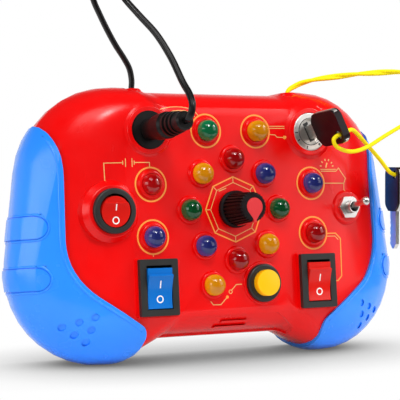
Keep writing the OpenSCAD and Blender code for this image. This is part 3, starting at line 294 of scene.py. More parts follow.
def ramp(tree, fac, stops):
    made = tree.nodes.new("ShaderNodeValToRGB")
    elements = made.color_ramp.elements
    elements[0].position, elements[0].color = stops[0][0], (*stops[0][1], 1)
    elements[1].position, elements[1].color = stops[-1][0], (*stops[-1][1], 1)
    for position, colour in stops[1:-1]:
        elements.new(position).color = (*colour, 1)
    tree.links.new(fac, made.inputs["Fac"])
    return made.outputs["Color"]


def mapped(tree, value, low, high, low_out, high_out, kind="LINEAR"):
    made = tree.nodes.new("ShaderNodeMapRange")
    made.interpolation_type = kind
    for socket, number in (("From Min", low), ("From Max", high),
                           ("To Min", low_out), ("To Max", high_out)):
        made.inputs[socket].default_value = number
    tree.links.new(value, made.inputs["Value"])
    return made.outputs["Result"]


def bumped(tree, height, strength, depth):
    """Gives the shader a skin of that height."""
    skin = tree.nodes.new("ShaderNodeBump")
    skin.inputs["Strength"].default_value = strength
    skin.inputs["Distance"].default_value = depth
    tree.links.new(height, skin.inputs["Height"])
    tree.links.new(skin.outputs["Normal"], tree.nodes["Principled BSDF"].inputs["Normal"])


def coloured(tree, colour):
    tree.links.new(colour, tree.nodes["Principled BSDF"].inputs["Base Color"])


def object_coords(tree):
    return tree.nodes.new("ShaderNodeTexCoord").outputs["Object"]


def shaded(colour, factor):
    return tuple(min(c * factor, 1.0) for c in colour)


def surface(name, colour, rough, *, vary=0.06, grain=1040.0, bump=0.06, metallic=0.0,
            clear=0.0, specular=0.5):
    """A moulded or plated surface: mottled colour, uneven gloss and a fine skin texture."""
    material = bpy.data.materials.new(name)
    material.use_nodes = True
    tree = material.node_tree
    shader = tree.nodes["Principled BSDF"]
    coords = object_coords(tree)
    mottle = noise(tree, coords, MOTTLE_SCALE, MOTTLE_DETAIL)
    coloured(tree, ramp(tree, mottle, [(NOISE_LOW, shaded(colour, 1 - vary)),
                                       (NOISE_HIGH, shaded(colour, 1 + vary))]))
    gloss = mapped(tree, noise(tree, coords, GLOSS_SCALE, GLOSS_DETAIL),
                   NOISE_LOW, NOISE_HIGH, rough * GLOSS_LOW, rough * GLOSS_HIGH)
    tree.links.new(gloss, shader.inputs["Roughness"])
    bumped(tree, noise(tree, coords, grain, GRAIN_DETAIL), bump, SKIN_DEPTH)
    shader.inputs["Metallic"].default_value = metallic
    shader.inputs["Specular IOR Level"].default_value = specular
    shader.inputs["Transmission Weight"].default_value = clear
    return material


STRING_YELLOW = (1.0, 0.80, 0.0)
THREAD_TURN = 0.8
THREAD_LEAN = 0.4
THREAD_SCALE = 420.0
THREAD_WANDER = 0.6
THREAD_BUMP = 0.3
THREAD_DEPTH = 0.2 * MM


def string_surface():
    """Fine crossing threads on the yellow string."""
    material = surface("yellow_string", STRING_YELLOW, 0.6, vary=0.04, specular=0.2)
    tree = material.node_tree
    coords = object_coords(tree)
    both = tree.nodes.new("ShaderNodeMath")
    both.operation = "MAXIMUM"
    for k, turn in enumerate((THREAD_TURN, -THREAD_TURN)):
        mapping = tree.nodes.new("ShaderNodeMapping")
        mapping.inputs["Rotation"].default_value = (turn, turn, THREAD_LEAN)
        tree.links.new(coords, mapping.inputs["Vector"])
        wave = tree.nodes.new("ShaderNodeTexWave")
        wave.inputs["Scale"].default_value = THREAD_SCALE
        wave.inputs["Distortion"].default_value = THREAD_WANDER
        tree.links.new(mapping.outputs["Vector"], wave.inputs["Vector"])
        tree.links.new(wave.outputs["Fac"], both.inputs[k])
    bumped(tree, both.outputs["Value"], THREAD_BUMP, THREAD_DEPTH)
    return material


# Heights above the face between which a lamp's colour goes from its lighter foot to its darker
# top: painted light and shade in the resin
LAMP_FOOT = 1.4
LAMP_TOP = 7.3
LIGHTER_FOOT_UP_TO = 0.1
SHADED_TOP_FROM = 0.95
LAMP_ROUGH = 0.05
LAMP_CLEAR = 0.15
LAMP_SPECULAR = 0.6


def lamp_surface(name, lighter_foot, shaded_top):
    """Tinted resin, with painted light and shade: lighter at the foot of the dome and darker
    towards its top, where one looks through the most resin.
    """
    material = surface(name, lighter_foot, LAMP_ROUGH, clear=LAMP_CLEAR, bump=0.0,
                       specular=LAMP_SPECULAR)
    tree = material.node_tree
    above = tree.nodes.new("ShaderNodeVectorMath")
    above.operation = "DOT_PRODUCT"
    above.inputs[1].default_value = OUT
    tree.links.new(object_coords(tree), above.inputs[0])
    face_plane = OUT.dot(board(0, 0))
    height = mapped(tree, above.outputs["Value"], face_plane + LAMP_FOOT * MM,
                    face_plane + LAMP_TOP * MM, 0.0, 1.0)
    # painted light and shade: the dome's colour goes from its lighter foot to its darker top
    coloured(tree, ramp(tree, height, [(LIGHTER_FOOT_UP_TO, lighter_foot), (SHADED_TOP_FROM, shaded_top)]))
    return material


CELL_HALF_LENGTH = 30 * MM
CELL_SLEEVE = (0.05, 0.06, 0.08)
CELL_STOPS = [(0.0, CELL_SLEEVE), (0.72, (0.06, 0.07, 0.09)),
              (0.74, (0.7, 0.42, 0.12)), (1.0, (0.75, 0.46, 0.14))]


def cell_surface():
    """A wrapped battery cell: dark sleeve with a paler band at one end."""
    material = surface("cell_wrap", CELL_SLEEVE, 0.35, metallic=0.4)
    tree = material.node_tree
    parts = tree.nodes.new("ShaderNodeSeparateXYZ")
    tree.links.new(object_coords(tree), parts.inputs["Vector"])
    along = mapped(tree, parts.outputs["X"], -CELL_HALF_LENGTH, CELL_HALF_LENGTH, 0.0, 1.0)
    coloured(tree, ramp(tree, along, CELL_STOPS))
    return material


RED = (0.80, 0.001, 0.001)
BLUE = (0.018, 0.26, 0.98)
COARSE = 1600.0
MATERIALS = {
    "red_plastic": surface("red_plastic", RED, 0.23, vary=0.03, specular=0.35),
    "blue_plastic": surface("blue_plastic", BLUE, 0.24, vary=0.03),
    "black_plastic": surface("black_plastic", (0.016, 0.016, 0.015), 0.42, vary=0.12),
    "black_matte": surface("black_matte", (0.006, 0.003, 0.004), 0.5, vary=0.12,
                           grain=COARSE, specular=0.2),
    "plug_plastic": surface("plug_plastic", (0.006, 0.005, 0.005), 0.42, vary=0.15,
                            grain=COARSE, specular=0.25),
    "red_paddle": surface("red_paddle", (0.62, 0.008, 0.004), 0.2, specular=0.3),
    "blue_paddle": surface("blue_paddle", (0.004, 0.145, 0.52), 0.2, specular=0.25),
    "yellow_plastic": surface("yellow_plastic", (1.0, 0.50, 0.0), 0.35, vary=0.02,
                              specular=0.3),
    "pointer_red": surface("pointer_red", (0.66, 0.018, 0.024), 0.34, vary=0.04),
    "lamp_red": lamp_surface("lamp_red", (0.62, 0.004, 0.005), (0.25, 0.001, 0.002)),
    "lamp_blue": lamp_surface("lamp_blue", (0.065, 0.08, 0.38), (0.013, 0.018, 0.125)),
    "lamp_green": lamp_surface("lamp_green", (0.006, 0.16, 0.045), (0.002, 0.055, 0.013)),
    # a lighter copy of the green lamp's colours: painted light on the top-left lamp
    "lamp_green_painted_light": lamp_surface("lamp_green_painted_light", (0.008, 0.30, 0.10), (0.003, 0.115, 0.04)),
    "lamp_yellow": lamp_surface("lamp_yellow", (1.0, 0.46, 0.006), (0.60, 0.215, 0.002)),
    "chrome": surface("chrome", (0.80, 0.78, 0.75), 0.28, vary=0.03, metallic=1.0),
    "satin_metal": surface("satin_metal", (0.90, 0.87, 0.83), 0.42, vary=0.03, metallic=1.0),
    "core_metal": surface("core_metal", (0.62, 0.59, 0.55), 0.36, vary=0.03, metallic=1.0),
    "key_metal": surface("key_metal", (0.82, 0.80, 0.76), 0.42, vary=0.05, metallic=1.0),
    "key_plastic": surface("key_plastic", (0.012, 0.005, 0.007), 0.32, vary=0.15,
                           specular=0.3),
    "steel": surface("steel", (0.55, 0.55, 0.56), 0.28, vary=0.08, metallic=1.0),
    "cell": cell_surface(),
    "board": surface("circuit_green", (0.02, 0.20, 0.07), 0.4, vary=0.12),
    "wire": surface("wire_sleeve", (0.03, 0.03, 0.032), 0.45, vary=0.2),
    "cable": surface("cable_jacket", (0.008, 0.007, 0.007), 0.30, vary=0.2, bump=0.015,
                     specular=0.28),
    "string": string_surface(),
}
PRINT_ORANGE = surface("print_orange", (1.0, 0.35, 0.045), 0.4, vary=0.05)
# gold print, and also one painted highlight by the dial
PRINT_GOLD_AND_HIGHLIGHT = surface("print_gold_and_highlight", (0.80, 0.46, 0.14), 0.4, vary=0.1)
PRINT_WHITE = surface("print_white", (0.85, 0.83, 0.80), 0.45, vary=0.04)
# black print, and also painted shade on the lock
PRINT_AND_SHADE_BLACK = surface("print_and_shade_black", (0.02, 0.02, 0.02), 0.5, vary=0.1)

# Nodes that look other than the rest of their slot
OWN_SURFACES = {
    "jack_socket": "plug_plastic",
    "lock_body": "satin_metal",
    "lock_cylinder": "core_metal",
    # the top-left lamp takes the lighter green copy, painted light
    "top_left_lamp": "lamp_green_painted_light",
}


def paint(obj, material):
    obj.data.materials.clear()
    obj.data.materials.append(material)


# Smooth shading of the solids: merged points, with the real edges kept sharp

MERGE_DISTANCE = 0.005 * MM
SHARP_ANGLE = math.radians(24)


def shading_group():
    group = bpy.data.node_groups.new("smooth_by_edge", "GeometryNodeTree")
    for way in ("INPUT", "OUTPUT"):
        group.interface.new_socket("Geometry", in_out=way, socket_type="NodeSocketGeometry")
    source = group.nodes.new("NodeGroupInput")
    plain = group.nodes.new("GeometryNodeRemoveAttribute")
    plain.inputs["Name"].default_value = "custom_normal"
    merged = group.nodes.new("GeometryNodeMergeByDistance")
    merged.inputs["Distance"].default_value = MERGE_DISTANCE
    faces = group.nodes.new("GeometryNodeSetShadeSmooth")
    faces.domain = "FACE"
    angle = group.nodes.new("GeometryNodeInputMeshEdgeAngle")
    sharp = group.nodes.new("FunctionNodeCompare")
    sharp.data_type = "FLOAT"
    sharp.operation = "GREATER_THAN"
    sharp.inputs["B"].default_value = SHARP_ANGLE
    edges = group.nodes.new("GeometryNodeSetShadeSmooth")
    edges.domain = "EDGE"
    edges.inputs["Shade Smooth"].default_value = False
    result = group.nodes.new("NodeGroupOutput")
    chain = (source, plain, merged, faces, edges, result)
    for a, b in zip(chain, chain[1:]):
        group.links.new(a.outputs["Geometry"], b.inputs["Geometry"])
    group.links.new(angle.outputs["Unsigned Angle"], sharp.inputs["A"])
    group.links.new(sharp.outputs["Result"], edges.inputs["Selection"])
    return group


SHADING = shading_group()
SLOTS = {part["node"]: part["material_slot"] for part in frame["record"]["subparts"]}
for name, obj in NODES.items():
    paint(obj, MATERIALS[OWN_SURFACES.get(name, SLOTS[name])])
    obj.modifiers.new("smooth_by_edge", "NODES").node_group = SHADING
    even = obj.modifiers.new("even_normals", "WEIGHTED_NORMAL")
    even.keep_sharp = True

# What the cords are made of and stand for

paint(cable, MATERIALS["cable"])
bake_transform(cable)
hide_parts("plug_cable")

paint(string, MATERIALS["string"])
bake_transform(string)
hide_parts("key_string")


# Return spring under the push button's cap

BUTTON = (13.6, -35.7)
SPRING_RADIUS = 4.7
SPRING_WIRE = 0.6
SPRING_FLOOR = -12.7
SPRING_TOP = -1.8
SPRING_TURNS = 5
SPRING_STEPS = 24
SPRING_SIDES = 10


def build_spring():
    low, high = SPRING_FLOOR + SPRING_WIRE / 2, SPRING_TOP - SPRING_WIRE / 2
    count = SPRING_TURNS * SPRING_STEPS
    path = []
    for i in range(count + 1):
        a = 2 * math.pi * i / SPRING_STEPS
        path.append(np.array(board(
            BUTTON[0] + SPRING_RADIUS * math.cos(a),
            BUTTON[1] + SPRING_RADIUS * math.sin(a),
            low + (high - low) * i / count)))
    r = SPRING_WIRE / 2 * MM

    def section(i, angle):
        return r * math.cos(angle), r * math.sin(angle)
    return swept("return_spring", path, section, SPRING_SIDES)


spring = build_spring()
paint(spring, MATERIALS["steel"])
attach(spring, "housing")
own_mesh(spring)
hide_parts("push_button_spring")


# Printing, and painted shade and a painted highlight made the same way: thin raised ink that
# follows the surface under it. A line has a point at each step, and one with the step WHOLE
# only at its corners.

INK = 0.05 * MM
SUNK = 0.08 * MM
DROP_FROM = 60.0
PRINT_STEP = 0.8
WHOLE = 99
SHARPEST_MITRE = 0.5


def solid_of(name):
    mesh = NODES[name].data
    vertices = [v.co.copy() for v in mesh.vertices]
    return BVHTree.FromPolygons(vertices, [list(p.vertices) for p in mesh.polygons])


def dropped(solid, x, y):
    """The point of a solid's front under a point of the board, or None."""
    return solid.ray_cast(board(x, y, DROP_FROM), -OUT)[0]


def resampled(points, step, closed):
    ends = points + [points[0]] if closed else points
    out = []
    for a, b in zip(ends, ends[1:]):
        count = max(1, int(math.dist(a, b) / step))
        out += [(a[0] + (b[0] - a[0]) * k / count, a[1] + (b[1] - a[1]) * k / count)
                for k in range(count)]
    return out if closed else out + [ends[-1]]


def offset_line(points, half, closed):
    """Left and right edges of a line of that half width, mitred at its corners."""
    n = len(points)
    left, right = [], []
    for i, p in enumerate(points):
        before = points[(i - 1) % n] if closed or i > 0 else None
        after = points[(i + 1) % n] if closed or i < n - 1 else None
        normals = []
        for a, b in ((before, p), (p, after)):
            if a is not None and b is not None:
                d = Vector((b[0] - a[0], b[1] - a[1])).normalized()
                normals.append(Vector((-d.y, d.x)))
        mitre = sum(normals, Vector((0, 0))).normalized()
        reach = half / max(mitre.dot(normals[0]), SHARPEST_MITRE)
        left.append((p[0] + mitre.x * reach, p[1] + mitre.y * reach))
        right.append((p[0] - mitre.x * reach, p[1] - mitre.y * reach))
    return left, right


def round_point(middle, radius, degrees):
    """A point on a circle, so many degrees round from its right."""
    a = math.radians(degrees)
    return middle[0] + radius * math.cos(a), middle[1] + radius * math.sin(a)


def circle(middle, radius, count):
    return [round_point(middle, radius, 360 * k / count) for k in range(count)]


class Ink:
    """Collects strips and discs of ink on a solid, for print, painted shade and a painted
    highlight, and makes one piece of them.
    """

    def __init__(self, solid):
        self.solid, self.vertices, self.faces = solid, [], []

    def point(self, x, y, lift):
        self.vertices.append(dropped(self.solid, x, y) + OUT * lift)

    def line(self, points, width, closed=False, step=PRINT_STEP):
        spots = resampled(points, step, closed)
        left, right = offset_line(spots, width / 2, closed)
        start, n = len(self.vertices), len(spots)
        for a, b in zip(left, right):
            for q in (a, b):
                self.point(*q, INK)
                self.point(*q, -SUNK)
        for i in range(n if closed else n - 1):
            p, q = start + 4 * i, start + 4 * ((i + 1) % n)
            self.faces += [(p, p + 2, q + 2, q), (p + 1, q + 1, q + 3, p + 3),
                           (p, q, q + 1, p + 1), (p + 2, p + 3, q + 3, q + 2)]
        if not closed:
            last = start + 4 * (n - 1)
            self.faces += [(start, start + 1, start + 3, start + 2),
                           (last, last + 2, last + 3, last + 1)]

    def lines(self, strokes, width):
        for points in strokes:
            self.line(points, width)

    def ring(self, x, y, radius, width, count=72):
        self.line(circle((x, y), radius, count), width, closed=True, step=WHOLE)

    def disc(self, x, y, radius, count=24):
        start = len(self.vertices)
        for lift in (INK, -SUNK):
            self.point(x, y, lift)
            for spot in circle((x, y), radius, count):
                self.point(*spot, lift)
        low = start + count + 1
        for k in range(count):
            i, j = k + 1, (k + 1) % count + 1
            self.faces += [(start, start + i, start + j), (low, low + j, low + i),
                           (start + i, low + i, low + j, start + j)]

    def piece(self, name, material, body="housing"):
        obj = mesh_object(name, self.vertices, self.faces, smooth=False)
        fixed = bmesh.new()
        fixed.from_mesh(obj.data)
        bmesh.ops.recalc_face_normals(fixed, faces=fixed.faces)
        fixed.to_mesh(obj.data)
        fixed.free()
        paint(obj, material)
        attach(obj, body)


def octagon(radius):
    return [(radius * math.sin(math.pi * k / 4), radius * math.cos(math.pi * k / 4))
            for k in range(8)]


# Orange print: rings round the side and top lamps, the dial's octagon, dots and a bracket

FACE = solid_of("front_shell")
RINGED_LAMPS = [(-44, -12.25), (-44, 12.25), (44, -12.25), (44, 12.25),
                (-13.6, 37.6), (13.6, 37.6)]
RING_RADIUS = 7.9
RING_LINE = 0.75
DIAL_OUTER = 15.6
DIAL_LINE = 0.6
BRACKET = [(51.9, -12.7), (57.3, -12.7), (60.3, -15.4), (60.0, -34.0), (57.6, -36.2),
           (55.2, -36.2)]
BRACKET_LINE = 0.55
DOTS = ((30.2, 34.8, 0.9), (-6.0, -41.6, 0.75))

orange_print = Ink(FACE)
for x, y in RINGED_LAMPS:
    orange_print.ring(x, y, RING_RADIUS, RING_LINE)
orange_print.line(octagon(DIAL_OUTER), DIAL_LINE, closed=True)
for x, y, radius in DOTS:
    orange_print.disc(x, y, radius)
orange_print.line(BRACKET, BRACKET_LINE)
orange_print.piece("printed_rings", PRINT_ORANGE)

# Gold print: the octagon's inside, a battery sign, a gauge and lines between the controls; and
# one short gold line by the dial that is a painted highlight

DIAL_SPOKE = 15.4
DIAL_INNER = 12.9
INNER_LINE = 0.32
BATTERY_Y = 22.4
BATTERY_PLATES = ((-57.85, 0.95), (-56.5, 1.95), (-53.15, 1.95), (-52.05, 0.95))
GAUGE = (54, 20.3)
GAUGE_TICKS = (172, 138, 104, 70, 36, 8)
GAUGE_REACH = (3.1, 4.1)
GAUGE_LINE = 0.6
NEEDLE = [(GAUGE[0] - 0.6, GAUGE[1] - 0.3), (GAUGE[0] + 0.2, GAUGE[1] + 2.1)]
NEEDLE_LINE = 0.7
SMALL_RING = (-4.1, -39.2, 0.85)
THIN_LINE = 0.4
THIN_STROKES_AND_HIGHLIGHT = [
    # painted highlight, not print: the short line by the dial
    [(-8.0, 8.8), (-3.9, 10.2)],
    [(-66.7, 13.6), (-66.9, 22.3), (-58.0, 22.4)],
    [(-52.0, 22.5), (-44.2, 22.5), (-44.2, 20.5)],
    [(50.4, 18.2), (59.4, 18.2), (61.2, 19.8), (65.4, 14.7), (64.2, 12.2), (50.9, 12.2)],
    [(-44.2, -20.4), (-44.2, -21.3)],
    [(-15.1, -43.3), (-13.8, -45.0), (-9.7, -45.1), (-6.4, -42.0)],
    [(-3.4, -38.4), (-0.8, -35.9), (2.3, -35.9)]]
FINE_LINE = 0.35
FINE_STROKES = [
    [(-37.7, 47.4), (-34.8, 48.2), (-31.6, 48.8), (-28.4, 49.0), (-25.2, 48.9),
     (-22.0, 48.3), (-19.2, 47.0), (-17.4, 45.0)],
    [(-33.6, 46.0), (-30.6, 46.8), (-27.4, 47.2), (-24.2, 47.1), (-21.4, 46.3),
     (-19.2, 44.2)],
    [(21.6, 40.2), (30.4, 40.3)],
    [(21.7, 39.2), (30.4, 39.3)],
    [(21.6, 36.2), (24.8, 36.0), (25.9, 34.9), (29.6, 34.8)],
    [(50.2, 19.1), (59.4, 19.1)],
    [(64.2, 12.2), (64.0, 7.4)],
    [(51.6, -14.1), (56.9, -14.1), (58.9, -15.9)]]

gold_print_and_highlight = Ink(FACE)
gold_print_and_highlight.line(octagon(DIAL_INNER), INNER_LINE, closed=True)
for a, b in zip(octagon(DIAL_INNER), octagon(DIAL_SPOKE)):
    gold_print_and_highlight.line([a, b], FINE_LINE)
for x, reach in BATTERY_PLATES:
    gold_print_and_highlight.line([(x, BATTERY_Y - reach), (x, BATTERY_Y + reach)], THIN_LINE)
for degrees in GAUGE_TICKS:
    gold_print_and_highlight.line([round_point(GAUGE, reach, degrees) for reach in GAUGE_REACH], GAUGE_LINE)
gold_print_and_highlight.line(NEEDLE, NEEDLE_LINE)
gold_print_and_highlight.lines(THIN_STROKES_AND_HIGHLIGHT, THIN_LINE)
gold_print_and_highlight.lines(FINE_STROKES, FINE_LINE)
gold_print_and_highlight.ring(*SMALL_RING, FINE_LINE, count=24)
gold_print_and_highlight.piece("printed_lines_and_highlight", PRINT_GOLD_AND_HIGHLIGHT)

# The I and O of the rockers: body, place, and how far up the I and the O stand from it

ROCKER_MARKS = (("round_rocker", -64.6, 0, 1.8, -4.4),
                ("left_rocker", -43.6, -35.7, 1.4, -5.4),
                ("right_rocker", 43.6, -35.7, 1.4, -5.4))
MARK_LINE = 0.55
I_HALF = 1.7
O_RADIUS = 1.5

for body, x, y, bar, zero in ROCKER_MARKS:
    marks = Ink(solid_of(body + "_paddle"))
    marks.line([(x, y + bar - I_HALF), (x, y + bar + I_HALF)], MARK_LINE)
    marks.ring(x, y + zero, O_RADIUS, MARK_LINE, count=36)
    marks.piece(body + "_marks", PRINT_WHITE, body)

# Marks on the lock's rim; and painted shade: a dark line round its core for its shaded recess
# wall, and a dark strip in the mouth of the keyway

LOCK = (44, 37.6)
LOCK_TICKS = (184, 212, 254)
TICK_REACH = (7.3, 8.9)
TICK_LINE = 0.5
LOCK_DOT = round_point(LOCK, 7.9, -52)
LOCK_DOT_RADIUS = 0.65
CORE_SHADE_RADIUS = 6.65
CORE_SHADE_LINE = 0.34
KEY_SLANT = -66
KEYWAY_HALF = 4.9
KEYWAY_WIDTH = 2.9

lock_marks_and_shade = Ink(solid_of("lock_body"))
for degrees in LOCK_TICKS:
    lock_marks_and_shade.line([round_point(LOCK, reach, degrees) for reach in TICK_REACH], TICK_LINE)
lock_marks_and_shade.disc(*LOCK_DOT, LOCK_DOT_RADIUS, count=16)
# painted shade: a dark ring round the core, where the recess wall lies in shade
lock_marks_and_shade.ring(*LOCK, CORE_SHADE_RADIUS, CORE_SHADE_LINE)
lock_marks_and_shade.piece("lock_marks_and_shade", PRINT_AND_SHADE_BLACK)

# painted shade: a dark strip where the keyway's mouth lies in shade
keyway_shade = Ink(solid_of("lock_cylinder"))
keyway_shade.line([round_point(LOCK, KEYWAY_HALF, KEY_SLANT),
             round_point(LOCK, KEYWAY_HALF, KEY_SLANT + 180)], KEYWAY_WIDTH, step=WHOLE)
keyway_shade.piece("keyway_painted_shade", PRINT_AND_SHADE_BLACK, "lock_key")


# Raised beads on the grips: round each finger tongue, and inside the edge at the red shell

BEAD_WIDTH = 1.2 * MM
BEAD_HEIGHT = 0.4 * MM
BEAD_FOOT = 0.3 * MM
BEAD_ARC = 6
BEAD_TAPER = 6
TONGUE_X = 92
TONGUE_Y = (-6, -29.7)
TONGUE_RADIUS = 5
TONGUE_GAP = 0.9
TONGUE_END_STEPS = 24
TONGUE_SIDE_STEPS = 24
PARTING_Z = -27
FAR = 70.0
GRIP_MIDDLE = 78.0
EDGE_INSET = 2.0
EDGE_TOP = 37.0
EDGE_STEP = 1.45
EDGE_POINTS = 64
EDGE_BETWEEN = (40.0, 101.0)
EDGE_HALVINGS = 18
EDGE_PROBE = 20
EVEN_REACH = 3


def bead(name, spots, closed):
    """A half-round bead along surface spots (place and normal), with its foot sunk in."""
    n = len(spots)
    vertices, faces = [], []
    for i, (place, normal) in enumerate(spots):
        a = spots[(i - 1) % n if closed else max(i - 1, 0)][0]
        b = spots[(i + 1) % n if closed else min(i + 1, n - 1)][0]
        side = normal.cross(b - a).normalized()
        share = 1.0 if closed else min(1.0, (i + 1) / BEAD_TAPER, (n - i) / BEAD_TAPER)
        vertices.append(place + side * BEAD_WIDTH / 2 - normal * BEAD_FOOT)
        for k in range(BEAD_ARC + 1):
            angle = math.pi * k / BEAD_ARC
            vertices.append(place + side * (BEAD_WIDTH / 2 * math.cos(angle))
                            + normal * (BEAD_HEIGHT * share * math.sin(angle)))
        vertices.append(place - side * BEAD_WIDTH / 2 - normal * BEAD_FOOT)
    ring = BEAD_ARC + 3
    for i in range(n if closed else n - 1):
        here, there = i * ring, (i + 1) % n * ring
        for k in range(ring):
            j = (k + 1) % ring
            faces.append((here + k, here + j, there + j, there + k))
    if not closed:
        faces += [tuple(range(ring - 1, -1, -1)),
                  tuple((n - 1) * ring + k for k in range(ring))]
    obj = mesh_object(name, vertices, faces)
    paint(obj, MATERIALS["blue_plastic"])
    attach(obj, "housing")


def evened(spots, closed):
    """The same spots with each normal averaged with its neighbours'."""
    n = len(spots)
    out = []
    for i, (place, _) in enumerate(spots):
        near = [(i + k) % n if closed else min(max(i + k, 0), n - 1)
                for k in range(-EVEN_REACH, EVEN_REACH + 1)]
        out.append((place, sum((spots[k][1] for k in near), Vector()).normalized()))
    return out


def seen_from(solid, origin, towards):
    place, normal = solid.ray_cast(origin, towards)[:2]
    return place, normal if normal.dot(towards) < 0 else -normal


def tongue_spots(grip, sign, y):
    """Closed line round one tongue, over the front, round the side and over the back."""
    reach = TONGUE_RADIUS + TONGUE_GAP
    middle = TONGUE_X + TONGUE_RADIUS
    spots = []
    for front in (1, -1):
        for k in range(TONGUE_END_STEPS + 1):
            a = math.pi * (0.5 + k / TONGUE_END_STEPS)
            spot = board(sign * (middle + reach * math.cos(a)),
                         y + front * reach * math.sin(a), PARTING_Z + front * FAR)
            spots.append(seen_from(grip, spot, -front * OUT))
        last = spots[-1][0]
        start = math.atan2((OUT.dot(last - board(0, 0)) / MM - PARTING_Z) * front,
                           abs(last.x) / MM - GRIP_MIDDLE)
        for k in range(1, TONGUE_SIDE_STEPS):
            a = start * (1 - 2 * k / TONGUE_SIDE_STEPS)
            out = Vector((sign * math.cos(a), 0, 0)) + OUT * (front * math.sin(a))
            centre = board(sign * GRIP_MIDDLE, y - front * reach, PARTING_Z)
            spots.append(seen_from(grip, centre + out * FAR * MM, -out))
    return evened(spots, closed=True)


def edge_spots(grip, shell, sign):
    """Open line down the front of a grip, just inside its edge with the red shell."""
    edge = []
    for k in range(EDGE_POINTS):
        y = EDGE_TOP - EDGE_STEP * k
        inner, outer = EDGE_BETWEEN
        for _ in range(EDGE_HALVINGS):
            x = (inner + outer) / 2
            on_grip, on_shell = dropped(grip, sign * x, y), dropped(shell, sign * x, y)
            if on_grip and (not on_shell or OUT.dot(on_grip - on_shell) > 0):
                outer = x
            else:
                inner = x
        edge.append((sign * outer, y))
    left, right = offset_line(edge, EDGE_INSET, closed=False)
    inside = left if abs(left[EDGE_PROBE][0]) > abs(right[EDGE_PROBE][0]) else right
    spots = [seen_from(grip, board(*p, FAR), -OUT) for p in inside]
    return evened(spots, closed=False)


for side, sign in (("left", -1), ("right", 1)):
    grip = solid_of(side + "_grip")
    for k, y in enumerate(TONGUE_Y):
        bead(f"{side}_tongue_bead_{k + 1}", tongue_spots(grip, sign, y), closed=True)
    bead(side + "_edge_bead", edge_spots(grip, FACE, sign), closed=False)


# Stage: a pale floor that keeps the object's shadow, and a white studio behind it

AMBIENT = 0.45
DARK_LEVEL = 0.05
BACKDROP_Y = (-0.1, 0.5)
BACKDROP_Z = (0.1, 0.55)
FLOOR_WHITE = (0.95, 0.95, 0.95, 1)
FLOOR_SIDE = 0.32
FLOOR_FRONT = -0.13
FLOOR_BACK = 0.6
SHADOW_REACH = 0.075
SHADOW_SAMPLES = 16
SHADOW_RANGE = (0.08, 0.94)
SHADOW_DARKEST = 0.13
AIM = Vector((0, 0, 0.07))

# Lit panels: degrees round to the right of the front, height, distance, width, tall, radiance
SOFTBOXES = {
    "right_box": (49, 0.62, 1.30, 0.85, 1.15, 1.8),
    "high_box": (61, 0.95, 1.09, 0.26, 0.40, 13.0),
    "top_box": (-28, 1.25, 0.70, 1.10, 0.50, 3.6),
    "spark_box": (-18, 1.10, 0.90, 0.13, 0.15, 95.0),
    "left_box": (-79, 0.33, 1.30, 0.75, 0.55, 3.0),
}


def link_rays(tree, *kinds):
    """One where the ray is of one of those kinds, else zero."""
    rays = tree.nodes.new("ShaderNodeLightPath")
    found = rays.outputs[kinds[0]]
    for kind in kinds[1:]:
        either = tree.nodes.new("ShaderNodeMath")
        either.operation = "MAXIMUM"
        tree.links.new(found, either.inputs[0])
        tree.links.new(rays.outputs[kind], either.inputs[1])
        found = either.outputs["Value"]
    return found


def floor_surface():
    """White to the eye, with a neutral shadow where the object closes off the light."""
    material = bpy.data.materials.new("floor")
    material.use_nodes = True
    tree = material.node_tree
    tree.nodes.clear()
    link = tree.links.new
    plain = tree.nodes.new("ShaderNodeBsdfDiffuse")
    plain.inputs["Color"].default_value = FLOOR_WHITE
    open_sky = tree.nodes.new("ShaderNodeAmbientOcclusion")
    open_sky.samples = SHADOW_SAMPLES
    open_sky.inputs["Distance"].default_value = SHADOW_REACH
    white = tree.nodes.new("ShaderNodeEmission")
    link(mapped(tree, open_sky.outputs["AO"], *SHADOW_RANGE, SHADOW_DARKEST, 1.0),
         white.inputs["Strength"])
    mix = tree.nodes.new("ShaderNodeMixShader")
    link(link_rays(tree, "Is Camera Ray", "Is Glossy Ray", "Is Transmission Ray"),
         mix.inputs["Fac"])
    link(plain.outputs["BSDF"], mix.inputs[1])
    link(white.outputs["Emission"], mix.inputs[2])
    out = tree.nodes.new("ShaderNodeOutputMaterial")
    link(mix.outputs["Shader"], out.inputs["Surface"])
    return material


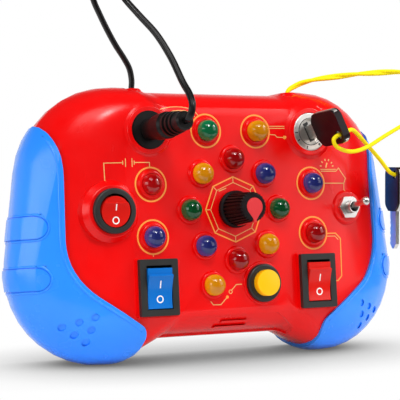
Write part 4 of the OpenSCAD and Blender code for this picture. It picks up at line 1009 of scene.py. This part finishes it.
def build_floor():
    corners = [(-FLOOR_SIDE, FLOOR_FRONT, 0), (FLOOR_SIDE, FLOOR_FRONT, 0),
               (FLOOR_SIDE, FLOOR_BACK, 0), (-FLOOR_SIDE, FLOOR_BACK, 0)]
    floor = mesh_object("floor", corners, [(0, 1, 2, 3)], smooth=False)
    paint(floor, floor_surface())


def build_world():
    """White backdrop low behind the object; gloss sees it there, and a darker room elsewhere."""
    world = bpy.data.worlds.new("studio")
    SCENE.world = world
    world.use_nodes = True
    tree = world.node_tree
    link = tree.links.new
    backdrop = tree.nodes["Background"]
    backdrop.inputs["Color"].default_value = (1, 1, 1, 1)
    towards = tree.nodes.new("ShaderNodeSeparateXYZ")
    link(tree.nodes.new("ShaderNodeTexCoord").outputs["Generated"], towards.inputs["Vector"])
    low = tree.nodes.new("ShaderNodeMath")
    low.operation = "MULTIPLY"
    behind = mapped(tree, towards.outputs["Y"], *BACKDROP_Y, DARK_LEVEL, 1.0, "SMOOTHSTEP")
    near_floor = mapped(tree, towards.outputs["Z"], *BACKDROP_Z, 1.0, DARK_LEVEL, "SMOOTHSTEP")
    link(behind, low.inputs[0])
    link(near_floor, low.inputs[1])

    gloss = tree.nodes.new("ShaderNodeMix")
    gloss.inputs["A"].default_value = AMBIENT
    link(link_rays(tree, "Is Glossy Ray", "Is Transmission Ray"), gloss.inputs["Factor"])
    link(low.outputs["Value"], gloss.inputs["B"])
    seen = tree.nodes.new("ShaderNodeMix")
    seen.inputs["B"].default_value = 1.0
    link(link_rays(tree, "Is Camera Ray"), seen.inputs["Factor"])
    link(gloss.outputs["Result"], seen.inputs["A"])
    link(seen.outputs["Result"], backdrop.inputs["Strength"])


def softbox(name, azimuth, height, distance, width, tall, radiance):
    """A lit panel that faces the object."""
    a = math.radians(azimuth)
    light = bpy.data.lights.new(name, "AREA")
    light.shape = "RECTANGLE"
    light.size, light.size_y = width, tall
    light.energy = math.pi * radiance * width * tall
    obj = bpy.data.objects.new(name, light)
    SCENE.collection.objects.link(obj)
    obj.location = (distance * math.sin(a), -distance * math.cos(a), height)
    obj.rotation_euler = (AIM - obj.location).to_track_quat("-Z", "Y").to_euler()


build_floor()
build_world()
for name, numbers in SOFTBOXES.items():
    softbox(name, *numbers)
